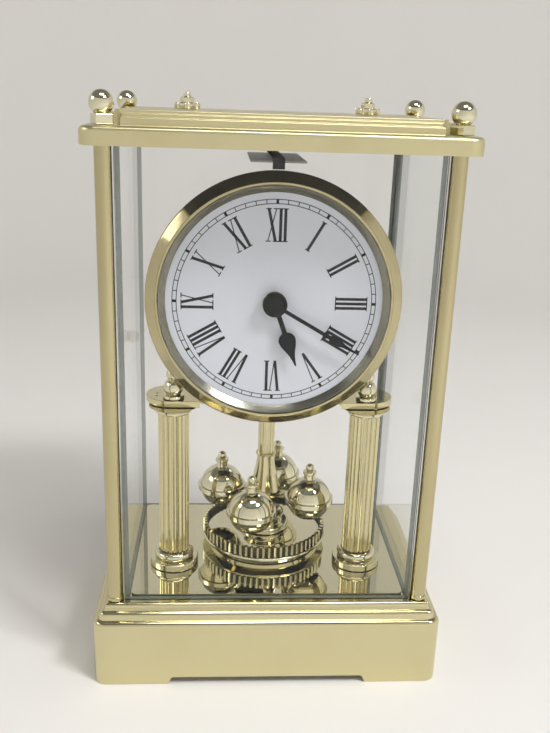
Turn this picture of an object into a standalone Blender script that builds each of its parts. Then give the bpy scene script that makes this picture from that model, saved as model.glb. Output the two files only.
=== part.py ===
"""Quartz anniversary clock: a gilt base and roof, a clear case with brass posts,
a round dial carried between two fluted columns, and a four-ball pendulum that
turns above a guide cup.

Metres, +Z up. The front faces -Y, and the origin is on the table under the
middle of the case. Run it with Blender 4.5: blender --background --python part.py
"""

import math

import bmesh
import bpy
from mathutils import Matrix

MM = 0.001

# How pieces meet
SEAT_GAP = 0.3 * MM          # air between two pieces that touch
OVERRUN = 1.5 * MM           # how far a cutter runs past what it cuts
MERGE = 0.01 * MM            # points closer than this are one point

# How finely round things are divided
STEPS_LARGE = 40
STEPS_MEDIUM = 18
STEPS_SMALL = 12
ARC_STEPS = 4
CORNER_STEPS = 3
EDGE_STEPS = 2

# Base: a hollow moulding with two stepped shoulders
BASE_WIDTH = 140.0 * MM
BASE_DEPTH = 96.0 * MM
BASE_CORNER = 5.0 * MM
SKIRT_HEIGHT = 28.5 * MM
SHOULDER_RISE = 3.1 * MM
DECK_RISE = 2.7 * MM
SHOULDER_INSET = 2.4 * MM
SKIRT_ROUND = 1.5 * MM
SHOULDER_ROUND = 1.0 * MM
BASE_WALL = 2.2 * MM
NOTCH_WIDTH = 78.0 * MM
NOTCH_HEIGHT = 3.2 * MM
NOTCH_ROUND = 2.0 * MM
COVER_INSET = 1.2 * MM
COVER_THICKNESS = 1.6 * MM
SHEET_THICKNESS = 0.8 * MM

# Clear case and posts
CASE_WIDTH = 115.6 * MM
CASE_FRONT = 40.0 * MM       # from the middle to the outside of the front pane
CASE_BACK = 42.5 * MM
PANE_HEIGHT = 176.7 * MM
PANE_THICKNESS = 2.0 * MM
POST_SPACING_X = 122.8 * MM
POST_SPACING_Y = 78.0 * MM
POST_RADIUS = 3.05 * MM
POST_BORE_DEPTH = 9.0 * MM
COLLAR_RADIUS = 3.3 * MM
COLLAR_HEIGHT = 1.6 * MM
ROD_RADIUS = 1.5 * MM
ROD_CLEARANCE = 0.3 * MM
SPIGOT_LENGTH = 5.0 * MM
BOLT_HEAD_FLATS = 5.5 * MM
BOLT_HEAD_HEIGHT = 2.4 * MM
HINGE_BARREL_RADIUS = 2.0 * MM
HINGE_PIN_RADIUS = 0.8 * MM
HINGE_INSET = 1.5 * MM
BARREL_OVERLAP = 0.5 * MM
DOOR_KNOB_RADIUS = 3.2 * MM
DOOR_KNOB_LENGTH = 5.0 * MM
DOOR_KNOB_RISE = 85.0 * MM
DOOR_KNOB_INSET = 8.0 * MM

# Roof: a hollow cap with a three-step raised panel
ROOF_WIDTH = 138.0 * MM
ROOF_DEPTH = 93.0 * MM
ROOF_CORNER = 6.0 * MM
ROOF_OVERLAP = 0.3 * MM
ROOF_SKIRT = 6.4 * MM
ROOF_ROUND = 1.6 * MM
ROOF_WALL = 2.2 * MM
PANEL_INSETS = (5.6 * MM, 8.6 * MM, 11.2 * MM)
PANEL_RISES = (2.8 * MM, 4.1 * MM, 5.2 * MM)
PANEL_CORNER = 3.0 * MM
PANEL_ROUND = 0.6 * MM
CORNER_CUT_RADIUS = 6.6 * MM
LINER_THICKNESS = 1.5 * MM
FINIAL_BLOCK_SIDE = 6.2 * MM
FINIAL_BLOCK_HEIGHT = 3.4 * MM
FINIAL_BLOCK_TURNS = (25.0, 35.0, 10.0, 20.0)    # degrees, as each was screwed down
FINIAL_RADIUS = 4.3 * MM
FINIAL_NECK_RADIUS = 2.4 * MM
ROSETTE_SPACING = 69.0 * MM
ROSETTE_RADIUS = 4.9 * MM
ROSETTE_LOBES = 12
ROSETTE_LOBE_DEPTH = 0.5 * MM
ROSETTE_HEIGHT = 2.2 * MM
ROSETTE_NUT_FLATS = 4.6 * MM
ROSETTE_NUT_HEIGHT = 2.2 * MM
ROSETTE_CAP_RADIUS = 1.4 * MM
ROSETTE_CAP_HEIGHT = 1.5 * MM

# Columns
COLUMN_X = 39.5 * MM
COLUMN_Y = -11.8 * MM
COLUMN_FOOT_RADIUS = 10.3 * MM
COLUMN_FOOT_HEIGHT = 2.8 * MM
COLUMN_TORUS_RADIUS = 8.3 * MM
COLUMN_TORUS_HEIGHT = 3.6 * MM
SHAFT_RADIUS = 6.3 * MM
SHAFT_LENGTH = 64.9 * MM
SHAFT_FLUTES = 22
FLUTE_DEPTH = 0.45 * MM
SHAFT_SINK = 2.6 * MM
CAPITAL_BEAD_RADIUS = 7.6 * MM
CAPITAL_BEAD_HEIGHT = 1.8 * MM
CAPITAL_RADIUS = 10.1 * MM
CAPITAL_CONE_HEIGHT = 1.1 * MM
BRACKET_THICKNESS = 2.6 * MM
BRACKET_DEPTH = 20.6 * MM
BRACKET_OFFSET_Y = 5.6 * MM
BRACKET_OUTER_X = 51.0 * MM
URN_FOOT_RADIUS = 4.4 * MM
URN_FOOT_HEIGHT = 1.3 * MM
URN_RADIUS = 4.0 * MM
URN_CENTRE = 4.2 * MM
URN_BALL_RADIUS = 2.9 * MM
URN_BALL_CENTRE = 9.8 * MM
URN_GRIP = 2.2 * MM
PEG_RADIUS = 1.1 * MM
PEG_BEAD_RADIUS = 1.8 * MM
PEG_BEAD_PLACE = 3.6 * MM

# Dial, measured forward from the middle of the case
DIAL_RISE = 41.5 * MM
DIAL_FACE = 16.5 * MM
DIAL_RADIUS = 44.2 * MM
DIAL_THICKNESS = 0.8 * MM
BEZEL_RADIUS = 50.3 * MM
BEZEL_INNER_RADIUS = 45.1 * MM
BEZEL_DEPTH = 4.6 * MM
BEZEL_EDGE = 0.6 * MM
BEZEL_CREST_WIDTH = 1.1 * MM
REFLECTOR_DIAL_RADIUS = 42.4 * MM
REFLECTOR_THICKNESS = 0.5 * MM
HOUSING_RADIUS = 44.4 * MM
HOUSING_FLANGE = 2.9 * MM
HOUSING_WALL = 1.2 * MM
HOUSING_DEPTH = 7.1 * MM
BUSH_RADIUS = 3.5 * MM
BUSH_LENGTH = 4.6 * MM
DIAL_NUT_RADIUS = 4.6 * MM
DIAL_NUT_THICKNESS = 1.4 * MM

# Hands
HAND_THICKNESS = 0.6 * MM
HAND_SPACING = 1.4 * MM
HAND_HUB_RADIUS = 4.75 * MM
HAND_CAP_RADIUS = 3.3 * MM
HAND_CAP_HEIGHT = 1.0 * MM
HOUR_HAND_LENGTH = 26.5 * MM
HOUR_STEM_WIDTH = 2.0 * MM
HOUR_SPADE_WIDTH = 6.8 * MM
HOUR_SPADE_PLACE = 15.6 * MM
MINUTE_HAND_LENGTH = 38.9 * MM
MINUTE_STEM_WIDTH = 1.5 * MM
MINUTE_SPADE_WIDTH = 4.0 * MM
MINUTE_SPADE_PLACE = 27.6 * MM
MINUTE_BAR_WIDTH = 3.6 * MM
MINUTE_BAR_PLACE = 23.4 * MM
HOUR_SHOWN = 5.0
MINUTE_SHOWN = 20.0

# Motion work: 12 into 36 teeth, then 10 into 40, so the hour hand turns once
# for twelve turns of the minute hand
GEAR_DISTANCE = 12.0 * MM
CANNON_TEETH = 12
MINUTE_WHEEL_TEETH = 36
MINUTE_PINION_TEETH = 10
HOUR_WHEEL_TEETH = 40
GEAR_THICKNESS = 1.0 * MM
GEAR_SPACING = 2.2 * MM
GEAR_END_PLAY = 0.7 * MM
ADDENDUM_SHARE = 0.8         # of the module
DEDENDUM_SHARE = 1.15
TOOTH_TIP_SHARE = 0.25       # of the tooth pitch
TOOTH_ROOT_SHARE = 0.575
HOUR_PIPE_RADIUS = 2.6 * MM
MINUTE_ARBOR_RADIUS = 1.4 * MM
SETTING_ARBOR_RADIUS = 0.9 * MM
HUB_WALL = 0.6 * MM
RUNNING_GAP = 0.3 * MM
KNOB_RADIUS = 5.0 * MM
KNOB_THICKNESS = 3.0 * MM
KNOB_RIBS = 20
KNOB_RIB_DEPTH = 0.4 * MM

# Movement, hidden behind the dial
MOVEMENT_WIDTH = 56.0 * MM
MOVEMENT_DEPTH = 17.0 * MM
MOVEMENT_DROP = 28.0 * MM
MOVEMENT_RISE = 28.5 * MM
MOVEMENT_WALL = 1.4 * MM
BATTERY_RADIUS = 7.1 * MM
BATTERY_LENGTH = 49.0 * MM
BATTERY_STUD_RADIUS = 2.6 * MM
BATTERY_STUD_LENGTH = 1.2 * MM

# Pendulum drive, its hanging tube, and the strip that steadies the dial
PENDULUM_Y = 8.4 * MM
DRIVE_WIDTH = 26.0 * MM
DRIVE_FRONT = 16.4 * MM
DRIVE_BACK = 13.6 * MM
DRIVE_HEIGHT = 16.7 * MM
DRIVE_WALL = 1.5 * MM
HOOK_RADIUS = 0.9 * MM
HOOK_BEAM = 3.6 * MM
TUBE_RADIUS = 3.65 * MM
TUBE_LENGTH = 29.4 * MM
TUBE_FLUTES = 12
TUBE_FLUTE_DEPTH = 0.35 * MM
TUBE_BORE = 2.0 * MM
LIP_RADIUS = 4.5 * MM
LIP_HEIGHT = 1.0 * MM
HANGER_WIDTH = 21.2 * MM
HANGER_FRONT = 15.2 * MM
HANGER_BACK = 31.0 * MM
HANGER_DROP = 5.6 * MM
HANGER_LEG_WIDTH = 12.0 * MM
HANGER_LEG_LENGTH = 32.0 * MM
STRAP_WIDTH = 4.6 * MM
STRAP_THICKNESS = 0.6 * MM

# Pendulum
SPINDLE_RADIUS = 1.2 * MM
SPINDLE_TAIL = 13.5 * MM
MAGNET_RADIUS = 5.0 * MM
MAGNET_THICKNESS = 3.0 * MM
MAGNET_RISE = 5.0 * MM
BALL_ORBIT = 20.4 * MM
BALL_RADIUS = 9.8 * MM
BALL_SKIN = 1.0 * MM
BALL_MOUTH_RADIUS = 6.2 * MM
RIM_RADIUS = 10.7 * MM
RIM_HEIGHT = 2.2 * MM
BALL_PHASE = -19.0           # degrees, as the pendulum stands at rest
KNOB_NECK_RADIUS = 2.0 * MM
KNOB_NECK_HEIGHT = 2.2 * MM
KNOB_FLANGE_RADIUS = 2.9 * MM
KNOB_FLANGE_HEIGHT = 1.3 * MM
KNOB_BEAD_RADIUS = 1.8 * MM
TRUMPET_HEIGHT = 16.5 * MM
TRUMPET_LOW_RADIUS = 7.2 * MM
TRUMPET_TOP_RADIUS = 3.8 * MM
TRUMPET_FLUTES = 12
TRUMPET_FLUTE_DEPTH = 0.45 * MM
TRUMPET_HEIGHT_SHARES = (1.0, 0.72, 0.44, 0.2, 0.0)
CROSS_RADIUS = 5.4 * MM
CROSS_THICKNESS = 3.0 * MM
CROSS_ARM_WIDTH = 3.6 * MM
CROSS_ARM_DEPTH = 2.2 * MM

# Plinth under the pendulum, with its toothed gallery, and the guide cup on it
PLINTH_FOOT_RADIUS = 21.0 * MM
PLINTH_FOOT_HEIGHT = 2.2 * MM
PLINTH_RADIUS = 27.8 * MM
PLINTH_FLANGE_HEIGHT = 2.3 * MM
PLINTH_CORE_RADIUS = 25.2 * MM
PLINTH_CORE_HEIGHT = 2.0 * MM
GALLERY_RADIUS = 27.4 * MM
GALLERY_HEIGHT = 4.7 * MM
GALLERY_TEETH = 66
GALLERY_TOOTH_DEPTH = 1.0 * MM
GALLERY_TIP_SHARE = 0.42     # of the tooth pitch
GALLERY_ROOT_SHARE = 0.58
CUP_FLANGE_RADIUS = 11.0 * MM
CUP_FLANGE_HEIGHT = 2.4 * MM
CUP_NECK_RADIUS = 7.8 * MM
CUP_LIP_RADIUS = 9.0 * MM
CUP_HEIGHT = 6.7 * MM
CUP_WALL = 1.1 * MM
CUP_FLOOR = 1.6 * MM

# Heights that follow from the sizes above, from the table up
DECK_HEIGHT = SKIRT_HEIGHT + SHOULDER_RISE + DECK_RISE
DECK_WIDTH = BASE_WIDTH - 4 * SHOULDER_INSET
DECK_DEPTH = BASE_DEPTH - 4 * SHOULDER_INSET
CEILING = DECK_HEIGHT - BASE_WALL
COVER_LOW = NOTCH_HEIGHT + COVER_INSET
PANE_LOW = DECK_HEIGHT + SEAT_GAP
CASE_TOP = PANE_LOW + PANE_HEIGHT
SHEET_TOP = PANE_LOW + SHEET_THICKNESS
FURNITURE_LOW = SHEET_TOP + SEAT_GAP
TORUS_TOP = FURNITURE_LOW + COLUMN_FOOT_HEIGHT + COLUMN_TORUS_HEIGHT
SHAFT_LOW = TORUS_TOP - SHAFT_SINK
SHAFT_TOP = SHAFT_LOW + SHAFT_LENGTH
CAPITAL_LOW = SHAFT_TOP + SEAT_GAP
CAPITAL_TOP = CAPITAL_LOW + CAPITAL_BEAD_HEIGHT + CAPITAL_CONE_HEIGHT
BRACKET_LOW = CAPITAL_TOP + SEAT_GAP
BRACKET_TOP = BRACKET_LOW + BRACKET_THICKNESS
URN_LOW = BRACKET_TOP + SEAT_GAP
DIAL_HEIGHT = BRACKET_TOP + DIAL_RISE
MOVEMENT_LOW = DIAL_HEIGHT - MOVEMENT_DROP
MOVEMENT_HIGH = DIAL_HEIGHT + MOVEMENT_RISE
DRIVE_TOP = MOVEMENT_LOW - SEAT_GAP
DRIVE_LOW = DRIVE_TOP - DRIVE_HEIGHT
TUBE_TOP = DRIVE_LOW - SEAT_GAP
TUBE_LOW = TUBE_TOP - TUBE_LENGTH
TRUMPET_TOP = TUBE_LOW - SEAT_GAP
TRUMPET_LOW = TRUMPET_TOP - TRUMPET_HEIGHT
CROSS_TOP = TRUMPET_LOW - SEAT_GAP
CROSS_LOW = CROSS_TOP - CROSS_THICKNESS
BALL_EQUATOR = CROSS_TOP - CROSS_THICKNESS / 2
PLINTH_FLANGE_TOP = FURNITURE_LOW + PLINTH_FOOT_HEIGHT + PLINTH_FLANGE_HEIGHT
PLINTH_TOP = PLINTH_FLANGE_TOP + PLINTH_CORE_HEIGHT
CUP_LOW = PLINTH_TOP + SEAT_GAP
LINER_LOW = CASE_TOP + SEAT_GAP
LINER_TOP = LINER_LOW + LINER_THICKNESS
ROOF_LOW = CASE_TOP - ROOF_OVERLAP
ROOF_LEDGE = ROOF_LOW + ROOF_SKIRT
BLOCK_LOW = ROOF_LEDGE + SEAT_GAP
HANGER_TOP = CASE_TOP - HANGER_DROP

# Places that follow: across the case, and forward from its middle
POST_X = POST_SPACING_X / 2
POST_Y = POST_SPACING_Y / 2
ROD_HOLE = ROD_RADIUS + ROD_CLEARANCE
HOUSING_FRONT = DIAL_FACE - DIAL_THICKNESS - SEAT_GAP
HOUSING_FLOOR_BACK = HOUSING_FRONT - HOUSING_WALL
MOVEMENT_FRONT = HOUSING_FLOOR_BACK - SEAT_GAP
MOVEMENT_BACK = MOVEMENT_FRONT - MOVEMENT_DEPTH
WORKS_FRONT = MOVEMENT_FRONT - MOVEMENT_WALL
BUSH_FRONT = MOVEMENT_FRONT + BUSH_LENGTH
HOUR_HAND_PLANE = BUSH_FRONT + 3 * SEAT_GAP
MINUTE_HAND_PLANE = HOUR_HAND_PLANE + HAND_SPACING
HOUR_GEAR_PLANE = WORKS_FRONT - GEAR_END_PLAY - GEAR_THICKNESS
MINUTE_GEAR_PLANE = HOUR_GEAR_PLANE - GEAR_SPACING
BATTERY_PLANE = WORKS_FRONT - SEAT_GAP - BATTERY_RADIUS
BATTERY_HEIGHT = MOVEMENT_LOW + MOVEMENT_WALL + SEAT_GAP + BATTERY_RADIUS
BAY_TOP = BATTERY_HEIGHT + BATTERY_RADIUS + SEAT_GAP
DIAL_BORE = BUSH_RADIUS + SEAT_GAP
CANNON_MODULE = 2 * GEAR_DISTANCE / (CANNON_TEETH + MINUTE_WHEEL_TEETH)
HOUR_MODULE = 2 * GEAR_DISTANCE / (MINUTE_PINION_TEETH + HOUR_WHEEL_TEETH)

FACING_FRONT = (math.pi / 2, 0, 0)     # turns a shape's own +Z towards the viewer
FACING_BACK = (-math.pi / 2, 0, 0)
ALONG_X = (0, math.pi / 2, 0)
ON_DIAL = (0, 0, DIAL_HEIGHT)
ON_SETTING = (0, 0, DIAL_HEIGHT + GEAR_DISTANCE)
ON_PENDULUM = (0, PENDULUM_Y, 0)

FINISHES = {
    # name: (colour, metallic, roughness, alpha)
    "gilt": ((0.80, 0.70, 0.40), 1.0, 0.18, 1.0),
    "bright_gilt": ((0.86, 0.79, 0.55), 1.0, 0.07, 1.0),
    "brass": ((0.78, 0.62, 0.30), 1.0, 0.2, 1.0),
    "steel": ((0.55, 0.55, 0.56), 1.0, 0.35, 1.0),
    "clear": ((0.93, 0.96, 0.94), 0.0, 0.03, 0.2),
    "dial_white": ((0.88, 0.89, 0.90), 0.0, 0.45, 1.0),
    "hand_black": ((0.02, 0.02, 0.02), 0.0, 0.4, 1.0),
    "black_plastic": ((0.03, 0.03, 0.03), 0.0, 0.5, 1.0),
    "white_plastic": ((0.75, 0.76, 0.72), 0.0, 0.5, 1.0),
    "battery_wrap": ((0.10, 0.12, 0.16), 0.2, 0.4, 1.0),
}


# The workshop
def clear_scene():
    """Start from an empty file, whatever it held before."""
    for obj in list(bpy.data.objects):
        bpy.data.objects.remove(obj, do_unlink=True)
    for collection in list(bpy.data.collections):
        bpy.data.collections.remove(collection)


def make_collection(name):
    collection = bpy.data.collections.new(name)
    bpy.context.scene.collection.children.link(collection)
    return collection


def make_materials():
    """One Principled material for each finish in the table."""
    for name, (colour, metallic, roughness, alpha) in FINISHES.items():
        material = bpy.data.materials.new(name)
        material.use_nodes = True
        shader = material.node_tree.nodes["Principled BSDF"]
        shader.inputs["Base Color"].default_value = (*colour, 1.0)
        shader.inputs["Metallic"].default_value = metallic
        shader.inputs["Roughness"].default_value = roughness
        shader.inputs["Alpha"].default_value = alpha


def place(name, data, finish, location=(0, 0, 0), rotation=(0, 0, 0)):
    """Put a new object in the clock, or with no finish among the cutters."""
    obj = bpy.data.objects.new(name, data)
    obj.location = location
    obj.rotation_euler = rotation
    if finish is None:
        bpy.data.collections["Cutters"].objects.link(obj)
        obj.hide_render = True
        obj.display_type = "WIRE"
    else:
        bpy.data.collections["Anniversary clock"].objects.link(obj)
        data.materials.append(bpy.data.materials[finish])
    return obj


def box(name, finish, low, high, corner=0, rim=0):
    """A box from its low to its high corner. corner rounds the four upright
    edges, and rim rounds the edges of the top."""
    mesh = bpy.data.meshes.new(name)
    bm = bmesh.new()
    bmesh.ops.create_cube(bm, size=1)
    size = [b - a for a, b in zip(low, high)]
    middle = [(a + b) / 2 for a, b in zip(low, high)]
    bmesh.ops.scale(bm, vec=size, verts=bm.verts)
    bmesh.ops.translate(bm, vec=middle, verts=bm.verts)
    if corner:
        upright = [e for e in bm.edges if abs(e.verts[0].co.z - e.verts[1].co.z) > MERGE]
        bmesh.ops.bevel(bm, geom=upright, offset=corner, segments=CORNER_STEPS,
                        profile=0.5, affect="EDGES")
    if rim:
        top = [e for e in bm.edges if all(high[2] - v.co.z < MERGE for v in e.verts)]
        bmesh.ops.bevel(bm, geom=top, offset=rim, segments=EDGE_STEPS,
                        profile=0.5, affect="EDGES")
    bm.to_mesh(mesh)
    bm.free()
    return place(name, mesh, finish)


def slab(name, finish, width, depth, low, high, corner=0, rim=0):
    """A box given by its width, depth and two heights, on the middle of the case."""
    return box(name, finish, (-width / 2, -depth / 2, low), (width / 2, depth / 2, high),
               corner, rim)


def turned(name, finish, profile, location=(0, 0, 0), rotation=(0, 0, 0),
           steps=STEPS_MEDIUM):
    """A turned piece. The profile is (radius, height) points that run down the
    outside from the top. It closes on the axis, or on itself round a bore."""
    on_axis = profile[0][0] == 0 and profile[-1][0] == 0
    mesh = bpy.data.meshes.new(name)
    bm = bmesh.new()
    verts = [bm.verts.new((radius, 0, height)) for radius, height in profile]
    for first, second in zip(verts, verts[1:]):
        bm.edges.new((first, second))
    if not on_axis:
        bm.edges.new((verts[-1], verts[0]))
    bm.to_mesh(mesh)
    bm.free()
    obj = place(name, mesh, finish, location, rotation)
    screw = obj.modifiers.new("Turn", "SCREW")
    screw.steps = steps
    screw.render_steps = steps
    screw.use_merge_vertices = True
    screw.merge_threshold = MERGE
    return obj


def rod(name, finish, radius, low, high, location=(0, 0, 0), rotation=(0, 0, 0),
        steps=STEPS_SMALL):
    """A plain round rod between two heights, or the cutter for a round hole."""
    return turned(name, finish, [(0, high), (radius, high), (radius, low), (0, low)],
                  location, rotation, steps)


def flat(name, finish, loops, low, high, location=(0, 0, 0), rotation=(0, 0, 0)):
    """A flat piece of one outline, with any further loops as its holes."""
    curve = bpy.data.curves.new(name, "CURVE")
    curve.dimensions = "2D"
    curve.fill_mode = "BOTH"
    curve.extrude = (high - low) / 2
    for loop in loops:
        spline = curve.splines.new("POLY")
        spline.points.add(len(loop) - 1)
        spline.use_cyclic_u = True
        for point, (x, y) in zip(spline.points, loop):
            point.co = (x, y, 0, 1)
    obj = place(name, curve, finish, location, rotation)
    lift = obj.rotation_euler.to_matrix() @ Matrix.Translation((0, 0, (low + high) / 2)).translation
    obj.location = obj.location + lift
    return obj


def as_mesh(obj):
    """The same piece as a mesh, so that it can be joined and cut."""
    bpy.context.view_layer.update()
    evaluated = obj.evaluated_get(bpy.context.evaluated_depsgraph_get())
    mesh = bpy.data.meshes.new_from_object(evaluated)
    bm = bmesh.new()
    bm.from_mesh(mesh)
    bmesh.ops.remove_doubles(bm, verts=bm.verts, dist=MERGE)
    bm.to_mesh(mesh)
    bm.free()
    name = obj.name
    matrix = obj.matrix_world.copy()
    finish = obj.data.materials[0].name if obj.data.materials else None
    bpy.data.objects.remove(obj, do_unlink=True)
    mesh.materials.clear()
    solid = place(name, mesh, finish)
    solid.matrix_world = matrix
    return solid


def boolean(obj, tool, operation="DIFFERENCE"):
    modifier = obj.modifiers.new(operation.title(), "BOOLEAN")
    modifier.operation = operation
    modifier.solver = "EXACT"
    modifier.object = tool


def join(obj, *others):
    for other in others:
        boolean(obj, other, "UNION")


def drill(obj, places, radius, low, high):
    """Upright round holes at the given places."""
    for x, y in places:
        boolean(obj, rod(obj.name + "_drill", None, radius, low, high, (x, y, 0)))


def carry(name, point, pieces):
    """An empty on a joint's axis that carries the pieces that move with it."""
    empty = bpy.data.objects.new(name, None)
    empty.location = point
    bpy.data.collections["Anniversary clock"].objects.link(empty)
    for piece in pieces:
        piece.parent = empty
        piece.location = [a - b for a, b in zip(piece.location, point)]


# Outlines
def circle(radius, steps, middle=(0, 0)):
    return [(middle[0] + radius * math.cos(2 * math.pi * k / steps),
             middle[1] + radius * math.sin(2 * math.pi * k / steps)) for k in range(steps)]


def arc(radius, start, end, centre=(0, 0), steps=ARC_STEPS):
    """Points along an arc, with angles in degrees from +X towards +Y."""
    points = []
    for k in range(steps + 1):
        angle = math.radians(start + (end - start) * k / steps)
        points.append((centre[0] + radius * math.cos(angle),
                       centre[1] + radius * math.sin(angle)))
    return points


def waved(radius, waves, depth, samples=4):
    """A round outline with soft flutes cut into it."""
    points = []
    for k in range(waves * samples):
        angle = 2 * math.pi * k / (waves * samples)
        reach = radius - depth * (1 + math.cos(waves * angle)) / 2
        points.append((reach * math.cos(angle), reach * math.sin(angle)))
    return points


def toothed(tip, root, teeth, tip_share, root_share, phase=0):
    """A round outline with straight-sided teeth. The shares are each tooth's
    width at its tip and root, and phase turns them all by a part of a tooth."""
    step = 2 * math.pi / teeth
    points = []
    for k in range(teeth):
        for reach, offset in ((root, -root_share), (tip, -tip_share),
                              (tip, tip_share), (root, root_share)):
            angle = (k + phase + offset / 2) * step
            points.append((reach * math.cos(angle), reach * math.sin(angle)))
    return points


def gear(teeth, module, phase=0):
    pitch = teeth * module / 2
    return toothed(pitch + ADDENDUM_SHARE * module, pitch - DEDENDUM_SHARE * module,
                   teeth, TOOTH_TIP_SHARE, TOOTH_ROOT_SHARE, phase)


# The base
def build_base():
    shell = slab("base_shell", "gilt", BASE_WIDTH, BASE_DEPTH, 0, SKIRT_HEIGHT,
                 BASE_CORNER, SKIRT_ROUND)
    shoulder = slab("shoulder", None, BASE_WIDTH - 2 * SHOULDER_INSET,
                    BASE_DEPTH - 2 * SHOULDER_INSET, SKIRT_HEIGHT - BASE_WALL,
                    SKIRT_HEIGHT + SHOULDER_RISE, BASE_CORNER, SHOULDER_ROUND)
    deck = slab("deck", None, DECK_WIDTH, DECK_DEPTH, SKIRT_HEIGHT - BASE_WALL,
                DECK_HEIGHT, BASE_CORNER, SHOULDER_ROUND)
    join(shell, shoulder, deck)
    inner_width = BASE_WIDTH - 2 * BASE_WALL
    inner_depth = BASE_DEPTH - 2 * BASE_WALL
    inner_corner = BASE_CORNER - BASE_WALL
    boolean(shell, slab("skirt_hollow", None, inner_width, inner_depth, -OVERRUN,
                        SKIRT_HEIGHT - BASE_WALL, inner_corner))
    boolean(shell, slab("deck_hollow", None, DECK_WIDTH - 2 * BASE_WALL,
                        DECK_DEPTH - 2 * BASE_WALL, SKIRT_HEIGHT - BASE_WALL - OVERRUN,
                        CEILING, inner_corner))
    notch = slab("notch", None, NOTCH_WIDTH, BASE_DEPTH + 2 * NOTCH_ROUND + 2 * OVERRUN,
                 -NOTCH_ROUND - OVERRUN, NOTCH_HEIGHT)
    soften = notch.modifiers.new("Soften", "BEVEL")
    soften.width = NOTCH_ROUND
    soften.segments = EDGE_STEPS
    boolean(shell, notch)
    posts = [(-POST_X, -POST_Y), (POST_X, -POST_Y)]
    columns = [(-COLUMN_X, COLUMN_Y), (COLUMN_X, COLUMN_Y)]
    spigot_low = DECK_HEIGHT + SEAT_GAP - SPIGOT_LENGTH
    drill(shell, posts, ROD_HOLE, spigot_low - SEAT_GAP, DECK_HEIGHT + OVERRUN)
    drill(shell, columns, ROD_HOLE, CEILING - OVERRUN, DECK_HEIGHT + OVERRUN)

    slab("base_cover", "black_plastic", inner_width - 2 * SEAT_GAP,
         inner_depth - 2 * SEAT_GAP, COVER_LOW, COVER_LOW + COVER_THICKNESS, inner_corner)

    inset = PANE_THICKNESS + SEAT_GAP
    half_width = CASE_WIDTH / 2 - inset
    sheet = box("base_plate", "bright_gilt", (-half_width, inset - CASE_FRONT, PANE_LOW),
                (half_width, CASE_BACK - inset, SHEET_TOP), HINGE_BARREL_RADIUS + SEAT_GAP)
    drill(sheet, columns, ROD_HOLE, PANE_LOW - OVERRUN, SHEET_TOP + OVERRUN)


# The case and its posts
def build_case():
    half_width = CASE_WIDTH / 2
    box("front_pane", "clear", (-half_width, -CASE_FRONT, PANE_LOW),
        (half_width, PANE_THICKNESS - CASE_FRONT, CASE_TOP))
    side_front = PANE_THICKNESS - CASE_FRONT + SEAT_GAP
    door_front = CASE_BACK - PANE_THICKNESS
    hinge_x = half_width - HINGE_INSET
    hinge_y = CASE_BACK - PANE_THICKNESS / 2
    box("left_pane", "clear", (-half_width, side_front, PANE_LOW),
        (PANE_THICKNESS - half_width, door_front - SEAT_GAP, CASE_TOP))
    box("right_pane", "clear", (half_width - PANE_THICKNESS, side_front, PANE_LOW),
        (half_width, hinge_y - HINGE_BARREL_RADIUS - SEAT_GAP, CASE_TOP))

    door_low = PANE_LOW + SEAT_GAP
    door_high = CASE_TOP - 2 * SEAT_GAP
    door = box("rear_door", "clear", (-half_width, door_front, door_low),
               (hinge_x - HINGE_BARREL_RADIUS + BARREL_OVERLAP, CASE_BACK, door_high))
    on_hinge = (hinge_x, hinge_y, 0)
    join(door, rod("hinge_barrel", None, HINGE_BARREL_RADIUS, door_low, door_high, on_hinge))
    drill(door, [on_hinge[:2]], HINGE_PIN_RADIUS + SEAT_GAP, door_low - OVERRUN,
          door_high + OVERRUN)
    rod("hinge_pin", "brass", HINGE_PIN_RADIUS, PANE_LOW, CASE_TOP, on_hinge, steps=10)
    knob = turned("door_knob", "brass",
                  [(0, DOOR_KNOB_LENGTH), (DOOR_KNOB_RADIUS * 0.8, DOOR_KNOB_LENGTH),
                   (DOOR_KNOB_RADIUS, DOOR_KNOB_LENGTH * 0.8),
                   (DOOR_KNOB_RADIUS, DOOR_KNOB_LENGTH / 2),
                   (DOOR_KNOB_RADIUS / 2, DOOR_KNOB_LENGTH / 4),
                   (DOOR_KNOB_RADIUS / 2, 0), (0, 0)],
                  (DOOR_KNOB_INSET - half_width, CASE_BACK + SEAT_GAP,
                   PANE_LOW + DOOR_KNOB_RISE), FACING_BACK, STEPS_SMALL)
    carry("door_axis", on_hinge, [door, knob])

    low = DECK_HEIGHT + SEAT_GAP
    bore_end = CASE_TOP - POST_BORE_DEPTH
    collar_top = low + COLLAR_HEIGHT
    profile = [(0, bore_end), (ROD_HOLE, bore_end), (ROD_HOLE, CASE_TOP),
               (POST_RADIUS, CASE_TOP), (POST_RADIUS, collar_top), (COLLAR_RADIUS, collar_top),
               (COLLAR_RADIUS, low), (ROD_RADIUS, low), (ROD_RADIUS, low - SPIGOT_LENGTH),
               (0, low - SPIGOT_LENGTH)]
    turned("post_left", "brass", profile, (-POST_X, -POST_Y, 0), steps=14)
    turned("post_right", "brass", profile, (POST_X, -POST_Y, 0), steps=14)


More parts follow.
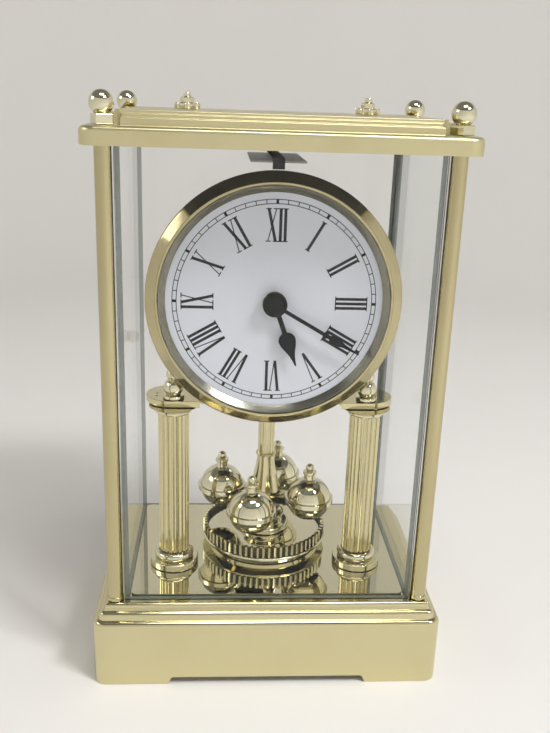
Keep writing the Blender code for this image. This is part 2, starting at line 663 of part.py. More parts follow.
# The roof
def build_roof():
    shell = slab("roof_shell", "gilt", ROOF_WIDTH, ROOF_DEPTH, ROOF_LOW, ROOF_LEDGE,
                 ROOF_CORNER, ROOF_ROUND)
    corners = {"front_left": (-POST_X, -POST_Y), "front_right": (POST_X, -POST_Y),
               "rear_left": (-POST_X, POST_Y), "rear_right": (POST_X, POST_Y)}
    ceiling = ROOF_LEDGE - ROOF_WALL
    for inset, rise in zip(PANEL_INSETS, PANEL_RISES):
        join(shell, slab("panel_step", None, ROOF_WIDTH - 2 * inset, ROOF_DEPTH - 2 * inset,
                         ROOF_LEDGE - ROOF_WALL / 2, ROOF_LEDGE + rise, PANEL_CORNER,
                         PANEL_ROUND))
    panel_top = ROOF_LEDGE + PANEL_RISES[-1]
    for x, y in corners.values():
        boolean(shell, rod("corner_cut", None, CORNER_CUT_RADIUS, ROOF_LEDGE,
                           panel_top + OVERRUN, (x, y, 0), steps=STEPS_MEDIUM))
    inner_width = ROOF_WIDTH - 2 * ROOF_WALL
    inner_depth = ROOF_DEPTH - 2 * ROOF_WALL
    boolean(shell, slab("roof_hollow", None, inner_width, inner_depth, ROOF_LOW - OVERRUN,
                        ceiling, ROOF_CORNER - ROOF_WALL))
    drill(shell, corners.values(), ROD_HOLE, ceiling - OVERRUN, ROOF_LEDGE + OVERRUN)
    liner = slab("roof_liner", "white_plastic", inner_width - 2 * SEAT_GAP,
                 inner_depth - 2 * SEAT_GAP, LINER_LOW, LINER_TOP, ROOF_CORNER - ROOF_WALL)
    drill(liner, corners.values(), ROD_HOLE, LINER_LOW - OVERRUN, LINER_TOP + OVERRUN)

    # Each finial's spigot goes down through the roof, in front into a post
    block_top = BLOCK_LOW + FINIAL_BLOCK_HEIGHT
    sunk = math.sqrt(FINIAL_RADIUS ** 2 - FINIAL_NECK_RADIUS ** 2)
    neck_angle = math.degrees(math.acos(FINIAL_NECK_RADIUS / FINIAL_RADIUS))
    ball = arc(FINIAL_RADIUS, 90, -neck_angle, (0, block_top + sunk), 6)
    ball[0] = (0, ball[0][1])
    half = FINIAL_BLOCK_SIDE / 2
    for (name, (x, y)), turn in zip(corners.items(), FINIAL_BLOCK_TURNS):
        end = CASE_TOP - SPIGOT_LENGTH if y < 0 else LINER_LOW
        profile = ball + [(FINIAL_NECK_RADIUS, BLOCK_LOW + FINIAL_BLOCK_HEIGHT / 2),
                          (ROD_RADIUS, BLOCK_LOW + FINIAL_BLOCK_HEIGHT / 2),
                          (ROD_RADIUS, end), (0, end)]
        finial = turned("finial_" + name, "bright_gilt", profile, (x, y, 0), steps=14)
        block = box("block", None, (-half, -half, BLOCK_LOW), (half, half, block_top))
        block.location = (x, y, 0)
        block.rotation_euler = (0, 0, math.radians(turn))
        join(finial, block)

    washer_low = panel_top + SEAT_GAP
    nut_low = washer_low + ROSETTE_HEIGHT
    nut_top = nut_low + ROSETTE_NUT_HEIGHT
    nut_radius = ROSETTE_NUT_FLATS / math.sqrt(3)
    nut = [(0, nut_top + ROSETTE_CAP_HEIGHT), (ROSETTE_CAP_RADIUS, nut_top + ROSETTE_CAP_HEIGHT),
           (ROSETTE_CAP_RADIUS, nut_top), (nut_radius, nut_top),
           (nut_radius, nut_low - ROSETTE_HEIGHT / 2), (0, nut_low - ROSETTE_HEIGHT / 2)]
    for name, side in (("rosette_left", -1), ("rosette_right", 1)):
        spot = (side * ROSETTE_SPACING / 2, 0, 0)
        rosette = as_mesh(flat(name, "bright_gilt",
                               [waved(ROSETTE_RADIUS, ROSETTE_LOBES, ROSETTE_LOBE_DEPTH)],
                               washer_low, washer_low + ROSETTE_HEIGHT, spot))
        join(rosette, turned("rosette_nut", None, nut, spot, steps=6))


# The columns
def build_columns():
    foot_top = FURNITURE_LOW + COLUMN_FOOT_HEIGHT
    bulge = COLUMN_TORUS_HEIGHT / 2
    socket = SHAFT_RADIUS + SEAT_GAP
    foot = [(socket, TORUS_TOP)]
    foot += arc(bulge, 65, -80, (COLUMN_TORUS_RADIUS - bulge, foot_top + bulge))
    foot += [(COLUMN_FOOT_RADIUS - SEAT_GAP, foot_top),
             (COLUMN_FOOT_RADIUS, foot_top - SEAT_GAP), (COLUMN_FOOT_RADIUS, FURNITURE_LOW),
             (ROD_HOLE, FURNITURE_LOW), (ROD_HOLE, SHAFT_LOW - SEAT_GAP),
             (socket, SHAFT_LOW - SEAT_GAP)]
    bead = CAPITAL_BEAD_HEIGHT / 2
    capital = [(ROD_HOLE, CAPITAL_TOP), (CAPITAL_RADIUS, CAPITAL_TOP)]
    capital += arc(bead, 80, -80, (CAPITAL_BEAD_RADIUS - bead, CAPITAL_LOW + bead), 3)
    capital += [(ROD_HOLE, CAPITAL_LOW)]
    urn = arc(URN_BALL_RADIUS, 90, -45, (0, URN_LOW + URN_BALL_CENTRE), 4)
    urn[0] = (0, urn[0][1])
    urn += arc(URN_RADIUS, 60, -45, (0, URN_LOW + URN_CENTRE))
    urn += [(URN_FOOT_RADIUS, URN_LOW + URN_FOOT_HEIGHT), (URN_FOOT_RADIUS, URN_LOW),
            (ROD_HOLE, URN_LOW), (ROD_HOLE, URN_LOW + URN_GRIP + SEAT_GAP),
            (0, URN_LOW + URN_GRIP + SEAT_GAP)]
    shaft = [waved(SHAFT_RADIUS, SHAFT_FLUTES, FLUTE_DEPTH), circle(ROD_HOLE, STEPS_SMALL)]
    head_top = CEILING - SEAT_GAP
    head_radius = BOLT_HEAD_FLATS / math.sqrt(3)

    # The brackets stop short of the bezel, and their pegs reach the housing
    half_depth = BRACKET_DEPTH / 2
    bracket_y = COLUMN_Y + BRACKET_OFFSET_Y
    bezel_reach = BEZEL_RADIUS + SEAT_GAP
    bracket_inner = math.sqrt(bezel_reach ** 2 - DIAL_RISE ** 2) + SEAT_GAP / 2
    peg_drop = DIAL_RISE + BRACKET_THICKNESS / 2 - PEG_RADIUS
    peg_end = math.sqrt((HOUSING_RADIUS + SEAT_GAP) ** 2 - peg_drop ** 2)
    bead_middle = bracket_inner - PEG_BEAD_PLACE
    cheek = math.sqrt(PEG_BEAD_RADIUS ** 2 - PEG_RADIUS ** 2)
    peg_root = bracket_inner + PEG_RADIUS
    peg = [(0, peg_root), (PEG_RADIUS, peg_root), (PEG_RADIUS, bead_middle + cheek),
           (PEG_BEAD_RADIUS, bead_middle), (PEG_RADIUS, bead_middle - cheek),
           (PEG_RADIUS, peg_end), (0, peg_end)]
    for name, side in (("left", -1), ("right", 1)):
        spot = (side * COLUMN_X, COLUMN_Y, 0)
        turned("column_base_" + name, "gilt", foot, spot)
        flat("column_shaft_" + name, "gilt", shaft, SHAFT_LOW, SHAFT_TOP, spot)
        turned("column_capital_" + name, "gilt", capital, spot)
        turned("column_finial_" + name, "bright_gilt", urn, spot, steps=14)
        bolt = rod("column_bolt_" + name, "steel", ROD_RADIUS, head_top - BOLT_HEAD_HEIGHT / 2,
                   URN_LOW + URN_GRIP, spot)
        join(bolt, rod("bolt_head", None, head_radius, head_top - BOLT_HEAD_HEIGHT, head_top,
                       spot, steps=6))

        rounded = arc(half_depth, -90, 90, (BRACKET_OUTER_X - half_depth, bracket_y), 8)
        outline = rounded + [(bracket_inner, bracket_y + half_depth),
                             (bracket_inner, bracket_y - half_depth)]
        hole = circle(ROD_HOLE, STEPS_SMALL, (side * COLUMN_X, COLUMN_Y))
        bracket = as_mesh(flat("dial_bracket_" + name, "gilt",
                               [[(side * x, y) for x, y in outline], hole],
                               BRACKET_LOW, BRACKET_TOP))
        join(bracket, turned("peg", None, peg,
                             (0, COLUMN_Y, (BRACKET_LOW + BRACKET_TOP) / 2),
                             (0, side * math.pi / 2, 0), 12))


# The dial and what holds it
def build_dial():
    crest_front = HOUSING_FRONT - 2 * SEAT_GAP + BEZEL_DEPTH
    edge_back = HOUSING_FRONT - SEAT_GAP
    inner_back = HOUSING_FRONT + SEAT_GAP
    flange_radius = HOUSING_RADIUS + HOUSING_FLANGE
    bezel = [(BEZEL_INNER_RADIUS + BEZEL_CREST_WIDTH / 3, crest_front),
             (BEZEL_INNER_RADIUS + BEZEL_CREST_WIDTH, crest_front),
             (BEZEL_RADIUS - BEZEL_EDGE / 2, edge_back + 2 * BEZEL_EDGE),
             (BEZEL_RADIUS, edge_back + BEZEL_EDGE), (BEZEL_RADIUS, edge_back),
             (flange_radius + SEAT_GAP, edge_back), (flange_radius + SEAT_GAP, inner_back),
             (BEZEL_INNER_RADIUS, inner_back),
             (BEZEL_INNER_RADIUS, crest_front - BEZEL_CREST_WIDTH / 2)]
    turned("bezel", "gilt", bezel, ON_DIAL, FACING_FRONT, STEPS_LARGE)
    reflector_front = crest_front - BEZEL_CREST_WIDTH / 2
    reflector_outer = BEZEL_INNER_RADIUS - SEAT_GAP
    reflector_back = DIAL_FACE + SEAT_GAP
    turned("reflector_ring", "bright_gilt",
           [(reflector_outer - REFLECTOR_THICKNESS, reflector_front),
            (reflector_outer, reflector_front), (reflector_outer, reflector_back),
            (REFLECTOR_DIAL_RADIUS, reflector_back)], ON_DIAL, FACING_FRONT, STEPS_LARGE)
    dial_back = DIAL_FACE - DIAL_THICKNESS
    turned("dial_plate", "dial_white",
           [(DIAL_BORE, DIAL_FACE), (DIAL_RADIUS, DIAL_FACE), (DIAL_RADIUS, dial_back),
            (DIAL_BORE, dial_back)], ON_DIAL, FACING_FRONT, STEPS_LARGE)
    turned("dial_housing", "gilt",
           [(DIAL_BORE, HOUSING_FRONT), (flange_radius, HOUSING_FRONT),
            (flange_radius, HOUSING_FLOOR_BACK), (HOUSING_RADIUS, HOUSING_FLOOR_BACK),
            (HOUSING_RADIUS, HOUSING_FRONT - HOUSING_DEPTH),
            (HOUSING_RADIUS - HOUSING_WALL, HOUSING_FRONT - HOUSING_DEPTH),
            (HOUSING_RADIUS - HOUSING_WALL, HOUSING_FLOOR_BACK),
            (DIAL_BORE, HOUSING_FLOOR_BACK)], ON_DIAL, FACING_FRONT, STEPS_LARGE)
    nut_low = DIAL_FACE + SEAT_GAP
    turned("dial_nut", "brass",
           [(DIAL_BORE, nut_low + DIAL_NUT_THICKNESS),
            (DIAL_NUT_RADIUS, nut_low + DIAL_NUT_THICKNESS), (DIAL_NUT_RADIUS, nut_low),
            (DIAL_BORE, nut_low)], ON_DIAL, FACING_FRONT, STEPS_SMALL)

    hanger_low = HANGER_TOP - SHEET_THICKNESS
    leg_front = SEAT_GAP - MOVEMENT_BACK
    hanger = box("hanger_plate", "clear", (-HANGER_WIDTH / 2, -HANGER_FRONT, hanger_low),
                 (HANGER_WIDTH / 2, HANGER_BACK, HANGER_TOP))
    half_leg = HANGER_LEG_WIDTH / 2
    join(hanger, box("hanger_leg", None, (-half_leg, leg_front, hanger_low - HANGER_LEG_LENGTH),
                     (half_leg, leg_front + SHEET_THICKNESS, HANGER_TOP - SHEET_THICKNESS / 2)))
    half = STRAP_WIDTH / 2
    front = -HANGER_FRONT - SEAT_GAP
    low = HANGER_TOP + SEAT_GAP
    high = low + STRAP_THICKNESS
    strap = box("hanger_strap", "black_plastic", (-half, front - STRAP_THICKNESS, low),
                (half, HANGER_BACK, high))
    join(strap,
         box("strap_front", None,
             (-half, front - STRAP_THICKNESS, DIAL_HEIGHT + BEZEL_RADIUS + SEAT_GAP),
             (half, front, (low + high) / 2)),
         box("strap_rear", None, (-half, HANGER_BACK - STRAP_THICKNESS, (low + high) / 2),
             (half, HANGER_BACK, CASE_TOP)))


def pointer(length, stem, width, spade, bar=None):
    """The outline of a hand along +Y: a hub, a stem, a spade and a fine point.
    bar adds a small crosspiece, as (its place, its width)."""
    start = math.sqrt(HAND_HUB_RADIUS ** 2 - (stem / 2) ** 2)
    right = [(stem / 2, start)]
    if bar:
        middle, bar_width = bar
        right += [(stem / 2, middle - stem / 2), (bar_width / 2, middle - stem / 4),
                  (bar_width / 2, middle + stem / 4), (stem / 2, middle + stem / 2)]
    right += [(stem / 2, spade - width * 0.55), (width * 0.34, spade - width * 0.4),
              (width * 0.48, spade - width * 0.12), (width * 0.49, spade + width * 0.1),
              (width * 0.36, spade + width * 0.4), (stem * 0.42, spade + width * 0.95),
              (stem * 0.2, length)]
    left = [(-x, y) for x, y in reversed(right)]
    edge = math.degrees(math.atan2(start, -stem / 2))
    hub = arc(HAND_HUB_RADIUS, edge, 540 - edge, steps=16)
    return right + left + hub[1:-1]


def clockwise(loop, degrees):
    """Turn an outline clockwise, as a hand turns on the dial."""
    angle = math.radians(degrees)
    return [(x * math.cos(angle) + y * math.sin(angle),
             y * math.cos(angle) - x * math.sin(angle)) for x, y in loop]


def build_hands():
    hour = pointer(HOUR_HAND_LENGTH, HOUR_STEM_WIDTH, HOUR_SPADE_WIDTH, HOUR_SPADE_PLACE)
    minute = pointer(MINUTE_HAND_LENGTH, MINUTE_STEM_WIDTH, MINUTE_SPADE_WIDTH,
                     MINUTE_SPADE_PLACE, (MINUTE_BAR_PLACE, MINUTE_BAR_WIDTH))
    hour_turn = (HOUR_SHOWN + MINUTE_SHOWN / 60) * 360 / 12
    minute_turn = MINUTE_SHOWN * 360 / 60
    pipe_hole = circle(HOUR_PIPE_RADIUS + SEAT_GAP, STEPS_SMALL)
    hour_hand = flat("hour_hand", "hand_black", [clockwise(hour, hour_turn), pipe_hole],
                     HOUR_HAND_PLANE, HOUR_HAND_PLANE + HAND_THICKNESS, ON_DIAL, FACING_FRONT)
    minute_hand = flat("minute_hand", "hand_black", [clockwise(minute, minute_turn)],
                       MINUTE_HAND_PLANE, MINUTE_HAND_PLANE + HAND_THICKNESS, ON_DIAL,
                       FACING_FRONT)
    cap_low = MINUTE_HAND_PLANE + HAND_THICKNESS + SEAT_GAP
    hand_cap = turned("hand_cap", "hand_black",
                      [(0, cap_low + HAND_CAP_HEIGHT),
                       (HAND_CAP_RADIUS - HAND_CAP_HEIGHT / 2, cap_low + HAND_CAP_HEIGHT),
                       (HAND_CAP_RADIUS, cap_low + HAND_CAP_HEIGHT / 2),
                       (HAND_CAP_RADIUS, cap_low), (0, cap_low)],
                      ON_DIAL, FACING_FRONT, 16)

    # The hour wheel's pipe reaches forward through the bush to the hour hand
    pipe_top = HOUR_HAND_PLANE + HAND_THICKNESS + SEAT_GAP
    pipe_low = MINUTE_GEAR_PLANE + GEAR_THICKNESS + RUNNING_GAP
    hour_wheel = turned("hour_wheel", "white_plastic",
                        [(0, pipe_top), (HOUR_PIPE_RADIUS, pipe_top),
                         (HOUR_PIPE_RADIUS, WORKS_FRONT - RUNNING_GAP),
                         (HOUR_PIPE_RADIUS + HUB_WALL, WORKS_FRONT - RUNNING_GAP),
                         (HOUR_PIPE_RADIUS + HUB_WALL, pipe_low), (0, pipe_low)],
                        ON_DIAL, FACING_FRONT, STEPS_SMALL)
    join(hour_wheel, as_mesh(flat("hour_teeth", None, [gear(HOUR_WHEEL_TEETH, HOUR_MODULE)],
                                  HOUR_GEAR_PLANE, HOUR_GEAR_PLANE + GEAR_THICKNESS,
                                  ON_DIAL, FACING_FRONT)))
    boolean(hour_wheel, rod("pipe_bore", None, MINUTE_ARBOR_RADIUS + RUNNING_GAP,
                            pipe_low - OVERRUN, pipe_top + OVERRUN, ON_DIAL, FACING_FRONT))
    carry("hour_axis", ON_DIAL, [hour_hand, hour_wheel])

    arbor_low = MOVEMENT_BACK + MOVEMENT_WALL + RUNNING_GAP
    arbor_top = MINUTE_HAND_PLANE - SEAT_GAP
    minute_arbor = rod("minute_arbor", "steel", MINUTE_ARBOR_RADIUS, arbor_low, arbor_top,
                       ON_DIAL, FACING_FRONT)
    join(minute_arbor, as_mesh(flat("cannon", None, [gear(CANNON_TEETH, CANNON_MODULE)],
                                    MINUTE_GEAR_PLANE, MINUTE_GEAR_PLANE + GEAR_THICKNESS,
                                    ON_DIAL, FACING_FRONT)))
    carry("minute_axis", ON_DIAL, [minute_hand, hand_cap, minute_arbor])

    # The minute wheel stands above the centre, and its lowest gap faces a
    # tooth of the pinion on the minute arbor
    knob_top = MOVEMENT_BACK - 2 * SEAT_GAP
    knob_low = knob_top - KNOB_THICKNESS
    minute_wheel = rod("minute_wheel", "white_plastic", SETTING_ARBOR_RADIUS, knob_low,
                       WORKS_FRONT - RUNNING_GAP, ON_SETTING, FACING_FRONT, 10)
    join(minute_wheel,
         as_mesh(flat("minute_teeth", None, [gear(MINUTE_WHEEL_TEETH, CANNON_MODULE, 0.5)],
                      MINUTE_GEAR_PLANE, MINUTE_GEAR_PLANE + GEAR_THICKNESS, ON_SETTING,
                      FACING_FRONT)),
         as_mesh(flat("pinion", None, [gear(MINUTE_PINION_TEETH, HOUR_MODULE)],
                      MINUTE_GEAR_PLANE + GEAR_THICKNESS / 2, HOUR_GEAR_PLANE + GEAR_THICKNESS,
                      ON_SETTING, FACING_FRONT)))
    knob = flat("setting_knob", "black_plastic",
                [waved(KNOB_RADIUS, KNOB_RIBS, KNOB_RIB_DEPTH, 3),
                 circle(SETTING_ARBOR_RADIUS + SEAT_GAP, 10)],
                knob_low, knob_top, ON_SETTING, FACING_FRONT)
    carry("setting_axis", ON_SETTING, [minute_wheel, knob])


# The movement
def build_movement():
    half = MOVEMENT_WIDTH / 2
    front = -MOVEMENT_FRONT
    back = -MOVEMENT_BACK
    case = box("movement_case", "black_plastic", (-half, front, MOVEMENT_LOW),
               (half, back, MOVEMENT_HIGH))
    inner = half - MOVEMENT_WALL
    works_low = BAY_TOP + MOVEMENT_WALL
    works_high = MOVEMENT_HIGH - MOVEMENT_WALL
    boolean(case, box("works_room", None, (-inner, -WORKS_FRONT, works_low),
                      (inner, back + OVERRUN, works_high)))
    boolean(case, box("battery_bay", None, (-inner, -WORKS_FRONT, MOVEMENT_LOW + MOVEMENT_WALL),
                      (inner, back + OVERRUN, BAY_TOP)))
    bush_low = MOVEMENT_FRONT - MOVEMENT_WALL / 2
    join(case, rod("bush", None, BUSH_RADIUS, bush_low, BUSH_FRONT, ON_DIAL, FACING_FRONT))
    boolean(case, rod("bush_bore", None, HOUR_PIPE_RADIUS + RUNNING_GAP, WORKS_FRONT - OVERRUN,
                      BUSH_FRONT + OVERRUN, ON_DIAL, FACING_FRONT))
    cover = box("movement_cover", "black_plastic",
                (SEAT_GAP - inner, back - MOVEMENT_WALL, works_low + SEAT_GAP),
                (inner - SEAT_GAP, back, works_high - SEAT_GAP))
    boolean(cover, rod("knob_hole", None, SETTING_ARBOR_RADIUS + RUNNING_GAP,
                       MOVEMENT_BACK - OVERRUN, MOVEMENT_BACK + MOVEMENT_WALL + OVERRUN,
                       ON_SETTING, FACING_FRONT, 10))
    stop = BATTERY_LENGTH / 2
    turned("battery", "battery_wrap",
           [(0, stop + BATTERY_STUD_LENGTH), (BATTERY_STUD_RADIUS, stop + BATTERY_STUD_LENGTH),
            (BATTERY_STUD_RADIUS, stop), (BATTERY_RADIUS, stop), (BATTERY_RADIUS, -stop),
            (0, -stop)], (0, -BATTERY_PLANE, BATTERY_HEIGHT), ALONG_X, 16)


# The pendulum
def build_pendulum():
    half = DRIVE_WIDTH / 2
    drive_front = PENDULUM_Y - DRIVE_FRONT
    drive_back = PENDULUM_Y + DRIVE_BACK
    floor = DRIVE_LOW + DRIVE_WALL
    magnet_low = DRIVE_LOW + MAGNET_RISE
    magnet_top = magnet_low + MAGNET_THICKNESS
    drive = box("drive_case", "black_plastic", (-half, drive_front, DRIVE_LOW),
                (half, drive_back, DRIVE_TOP))
    boolean(drive, box("drive_room", None,
                       (DRIVE_WALL - half, drive_front + DRIVE_WALL, floor),
                       (half - DRIVE_WALL, drive_back - DRIVE_WALL, DRIVE_TOP + OVERRUN)))
    drill(drive, [ON_PENDULUM[:2]], TUBE_BORE, DRIVE_LOW - OVERRUN, floor + OVERRUN)
    beam_low = DRIVE_TOP - HOOK_BEAM
    half_beam = HOOK_BEAM / 2
    join(drive,
         box("hook_beam", None, (-half + DRIVE_WALL / 2, PENDULUM_Y - half_beam, beam_low),
             (half - DRIVE_WALL / 2, PENDULUM_Y + half_beam, beam_low + half_beam)),
         rod("hook_pin", None, HOOK_RADIUS, magnet_top + SEAT_GAP, beam_low + half_beam / 2,
             ON_PENDULUM, steps=10))

    tube = as_mesh(flat("support_tube", "gilt",
                        [waved(TUBE_RADIUS, TUBE_FLUTES, TUBE_FLUTE_DEPTH)],
                        TUBE_LOW + LIP_HEIGHT / 2, TUBE_TOP, ON_PENDULUM))
    bevel = LIP_HEIGHT / 4
    join(tube, turned("tube_lip", None,
                      [(0, TUBE_LOW + LIP_HEIGHT), (LIP_RADIUS - bevel, TUBE_LOW + LIP_HEIGHT),
                       (LIP_RADIUS, TUBE_LOW + LIP_HEIGHT - bevel),
                       (LIP_RADIUS, TUBE_LOW + bevel), (LIP_RADIUS - bevel, TUBE_LOW),
                       (0, TUBE_LOW)], ON_PENDULUM, steps=16))
    drill(tube, [ON_PENDULUM[:2]], TUBE_BORE, TUBE_LOW - OVERRUN, TUBE_TOP + OVERRUN)

    spindle_low = BALL_EQUATOR - SPINDLE_TAIL
    spindle = turned("pendulum_spindle", "steel",
                     [(0, magnet_top), (MAGNET_RADIUS, magnet_top),
                      (MAGNET_RADIUS, magnet_low), (SPINDLE_RADIUS, magnet_low),
                      (SPINDLE_RADIUS, spindle_low + SPINDLE_RADIUS), (0, spindle_low)],
                     ON_PENDULUM, steps=STEPS_SMALL)
    trumpet = build_trumpet()

    cross = rod("cross_arms", "brass", CROSS_RADIUS, CROSS_LOW, CROSS_TOP, ON_PENDULUM,
                steps=16)
    arm_reach = BALL_ORBIT - RIM_RADIUS - SEAT_GAP
    half_width = CROSS_ARM_WIDTH / 2
    half_height = CROSS_ARM_DEPTH / 2
    bar = math.radians(BALL_PHASE)
    for turn in (bar, bar + math.pi / 2):
        arm = box("arm", None, (-half_width, -arm_reach, BALL_EQUATOR - half_height),
                  (half_width, arm_reach, BALL_EQUATOR + half_height))
        arm.location = ON_PENDULUM
        arm.rotation_euler = (0, 0, turn)
        join(cross, arm)
    drill(cross, [ON_PENDULUM[:2]], SPINDLE_RADIUS + SEAT_GAP, CROSS_LOW - OVERRUN,
          CROSS_TOP + OVERRUN)

    # Each ball is one hollow shell: knob, dome, rim, and a bowl that is open below
    rim = RIM_HEIGHT / 2
    centre = (0, BALL_EQUATOR)
    dome_end = math.degrees(math.asin(rim / BALL_RADIUS))
    dome_start = math.degrees(math.acos(KNOB_NECK_RADIUS / BALL_RADIUS))
    mouth = -math.degrees(math.acos(BALL_MOUTH_RADIUS / BALL_RADIUS))
    inner_radius = BALL_RADIUS - BALL_SKIN
    inner_mouth = -math.degrees(math.acos((BALL_MOUTH_RADIUS - BALL_SKIN / 2) / inner_radius))
    flange_low = BALL_EQUATOR + BALL_RADIUS + KNOB_NECK_HEIGHT
    flange_top = flange_low + KNOB_FLANGE_HEIGHT
    bead_neck = KNOB_NECK_RADIUS / 2
    bead_centre = flange_top + math.sqrt(KNOB_BEAD_RADIUS ** 2 - bead_neck ** 2)
    bead_end = -math.degrees(math.acos(bead_neck / KNOB_BEAD_RADIUS))
    profile = arc(KNOB_BEAD_RADIUS, 90, bead_end, (0, bead_centre), 3)
    profile[0] = (0, profile[0][1])
    profile += [(KNOB_FLANGE_RADIUS, flange_top), (KNOB_FLANGE_RADIUS, flange_low),
                (KNOB_NECK_RADIUS, flange_low)]
    profile += arc(BALL_RADIUS, dome_start, dome_end, centre, 4)
    profile += [(RIM_RADIUS, BALL_EQUATOR + rim), (RIM_RADIUS, BALL_EQUATOR - rim)]
    profile += arc(BALL_RADIUS, -dome_end, mouth, centre, 3)
    profile += arc(inner_radius, inner_mouth, 90, centre, 4)
    profile[-1] = (0, profile[-1][1])
    balls = []
    for k, name in enumerate(("front", "right", "rear", "left")):
        angle = math.radians(BALL_PHASE) + k * math.pi / 2
        spot = (BALL_ORBIT * math.sin(angle), PENDULUM_Y - BALL_ORBIT * math.cos(angle), 0)
        balls.append(turned("pendulum_ball_" + name, "bright_gilt", profile, spot, steps=14))
    carry("pendulum_axis", ON_PENDULUM, [spindle, trumpet, cross] + balls)


def build_trumpet():
    """The bell-mouthed sleeve: fluted rings lofted down to its flare, with a
    plain bore round the spindle."""
    mesh = bpy.data.meshes.new("trumpet")
    bm = bmesh.new()
    flare = TRUMPET_LOW_RADIUS - TRUMPET_TOP_RADIUS
    samples = 3
    rings = []
    for share in TRUMPET_HEIGHT_SHARES:
        radius = TRUMPET_TOP_RADIUS + flare * (1 - share) ** 1.6
        depth = TRUMPET_FLUTE_DEPTH * radius / TRUMPET_LOW_RADIUS
        rings.append((waved(radius, TRUMPET_FLUTES, depth, samples), share))
    bore = circle(SPINDLE_RADIUS + SEAT_GAP, TRUMPET_FLUTES * samples)
    rings += [(bore, 0.0), (bore, 1.0)]
    rings = [[bm.verts.new((x, y, TRUMPET_LOW + TRUMPET_HEIGHT * share)) for x, y in ring]
             for ring, share in rings]
    for upper, lower in zip(rings, rings[1:] + rings[:1]):
        for k, vert in enumerate(upper):
            after = (k + 1) % len(upper)
            bm.faces.new((vert, lower[k], lower[after], upper[after]))
    bm.to_mesh(mesh)
    bm.free()
    return place("trumpet", mesh, "gilt", ON_PENDULUM)


def build_plinth():
    foot_top = FURNITURE_LOW + PLINTH_FOOT_HEIGHT
    turned("plinth_disc", "bright_gilt",
           [(0, PLINTH_TOP), (PLINTH_CORE_RADIUS, PLINTH_TOP),
            (PLINTH_CORE_RADIUS, PLINTH_FLANGE_TOP), (PLINTH_RADIUS, PLINTH_FLANGE_TOP),
            (PLINTH_RADIUS, foot_top), (PLINTH_FOOT_RADIUS, foot_top),
            (PLINTH_FOOT_RADIUS, FURNITURE_LOW), (0, FURNITURE_LOW)], ON_PENDULUM, steps=36)
    gallery_low = PLINTH_FLANGE_TOP + SEAT_GAP
    flat("gallery_ring", "gilt",
         [toothed(GALLERY_RADIUS, GALLERY_RADIUS - GALLERY_TOOTH_DEPTH, GALLERY_TEETH,
                  GALLERY_TIP_SHARE, GALLERY_ROOT_SHARE),
          circle(PLINTH_CORE_RADIUS + SEAT_GAP, 36)],
         gallery_low, gallery_low + GALLERY_HEIGHT, ON_PENDULUM)

    lip = CUP_LOW + CUP_HEIGHT
    flange_top = CUP_LOW + CUP_FLANGE_HEIGHT
    neck = (flange_top + lip) / 2
    floor = CUP_LOW + CUP_FLOOR
    inside = CUP_NECK_RADIUS - CUP_WALL
    turned("guide_cup", "bright_gilt",
           [(0, floor), (inside, floor), (inside, neck), (CUP_LIP_RADIUS - CUP_WALL, lip),
            (CUP_LIP_RADIUS, lip), (CUP_LIP_RADIUS, lip - CUP_WALL), (CUP_NECK_RADIUS, neck),
            (CUP_NECK_RADIUS, flange_top), (CUP_FLANGE_RADIUS - CUP_WALL / 2, flange_top),
            (CUP_FLANGE_RADIUS, flange_top - CUP_WALL / 2), (CUP_FLANGE_RADIUS, CUP_LOW),
            (0, CUP_LOW)], ON_PENDULUM)


def smooth_rounds():
    """Shade the curved faces smooth and keep the real edges sharp."""
    for obj in bpy.data.collections["Anniversary clock"].objects:
        if obj.type == "MESH":
            obj.data.shade_smooth()
            obj.data.set_sharp_from_angle(angle=math.radians(35))


def main():
    clear_scene()
    make_collection("Anniversary clock")
    make_collection("Cutters")
    make_materials()
    build_base()
    build_case()
    build_roof()
    build_columns()
    build_dial()
    build_hands()
    build_movement()
    build_pendulum()
    build_plinth()
    smooth_rounds()


main()
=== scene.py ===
"""Anniversary clock: the looks of its pieces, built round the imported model."""

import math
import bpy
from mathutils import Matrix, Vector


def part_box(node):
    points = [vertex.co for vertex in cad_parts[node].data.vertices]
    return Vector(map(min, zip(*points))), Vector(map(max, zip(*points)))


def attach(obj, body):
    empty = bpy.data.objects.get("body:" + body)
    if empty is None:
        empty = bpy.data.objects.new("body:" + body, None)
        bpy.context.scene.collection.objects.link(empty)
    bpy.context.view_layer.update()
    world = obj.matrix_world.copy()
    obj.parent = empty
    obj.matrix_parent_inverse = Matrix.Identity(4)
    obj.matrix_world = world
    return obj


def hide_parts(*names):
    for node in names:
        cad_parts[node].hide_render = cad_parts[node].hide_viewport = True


bl_info = {
    "name": "Anniversary clock",
    "version": (1, 0, 0),
    "blender": (4, 5, 0),
    "location": "View3D > Sidebar > Clock",
    "description": "Builds the visible pieces and finishes of a quartz anniversary clock",
    "category": "Add Mesh",
}

from types import SimpleNamespace

import bmesh
import bpy
from bpy.props import FloatProperty, FloatVectorProperty, IntProperty, PointerProperty
from mathutils import Matrix, Vector

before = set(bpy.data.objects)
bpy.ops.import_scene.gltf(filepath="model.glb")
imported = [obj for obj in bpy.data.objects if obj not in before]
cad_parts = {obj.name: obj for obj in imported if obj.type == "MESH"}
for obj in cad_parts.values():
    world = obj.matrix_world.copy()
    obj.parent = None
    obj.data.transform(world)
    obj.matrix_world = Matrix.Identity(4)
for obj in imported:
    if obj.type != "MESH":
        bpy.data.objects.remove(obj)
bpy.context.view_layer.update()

MM = 0.001
UPRIGHT = Matrix.Identity(4)
FORWARD = Matrix.Rotation(math.pi / 2, 4, "X")       # turns a shape's own +Z to the front
BACKWARD = Matrix.Rotation(-math.pi / 2, 4, "X")
SIDEWAYS = Matrix.Rotation(math.pi / 2, 4, "Y")


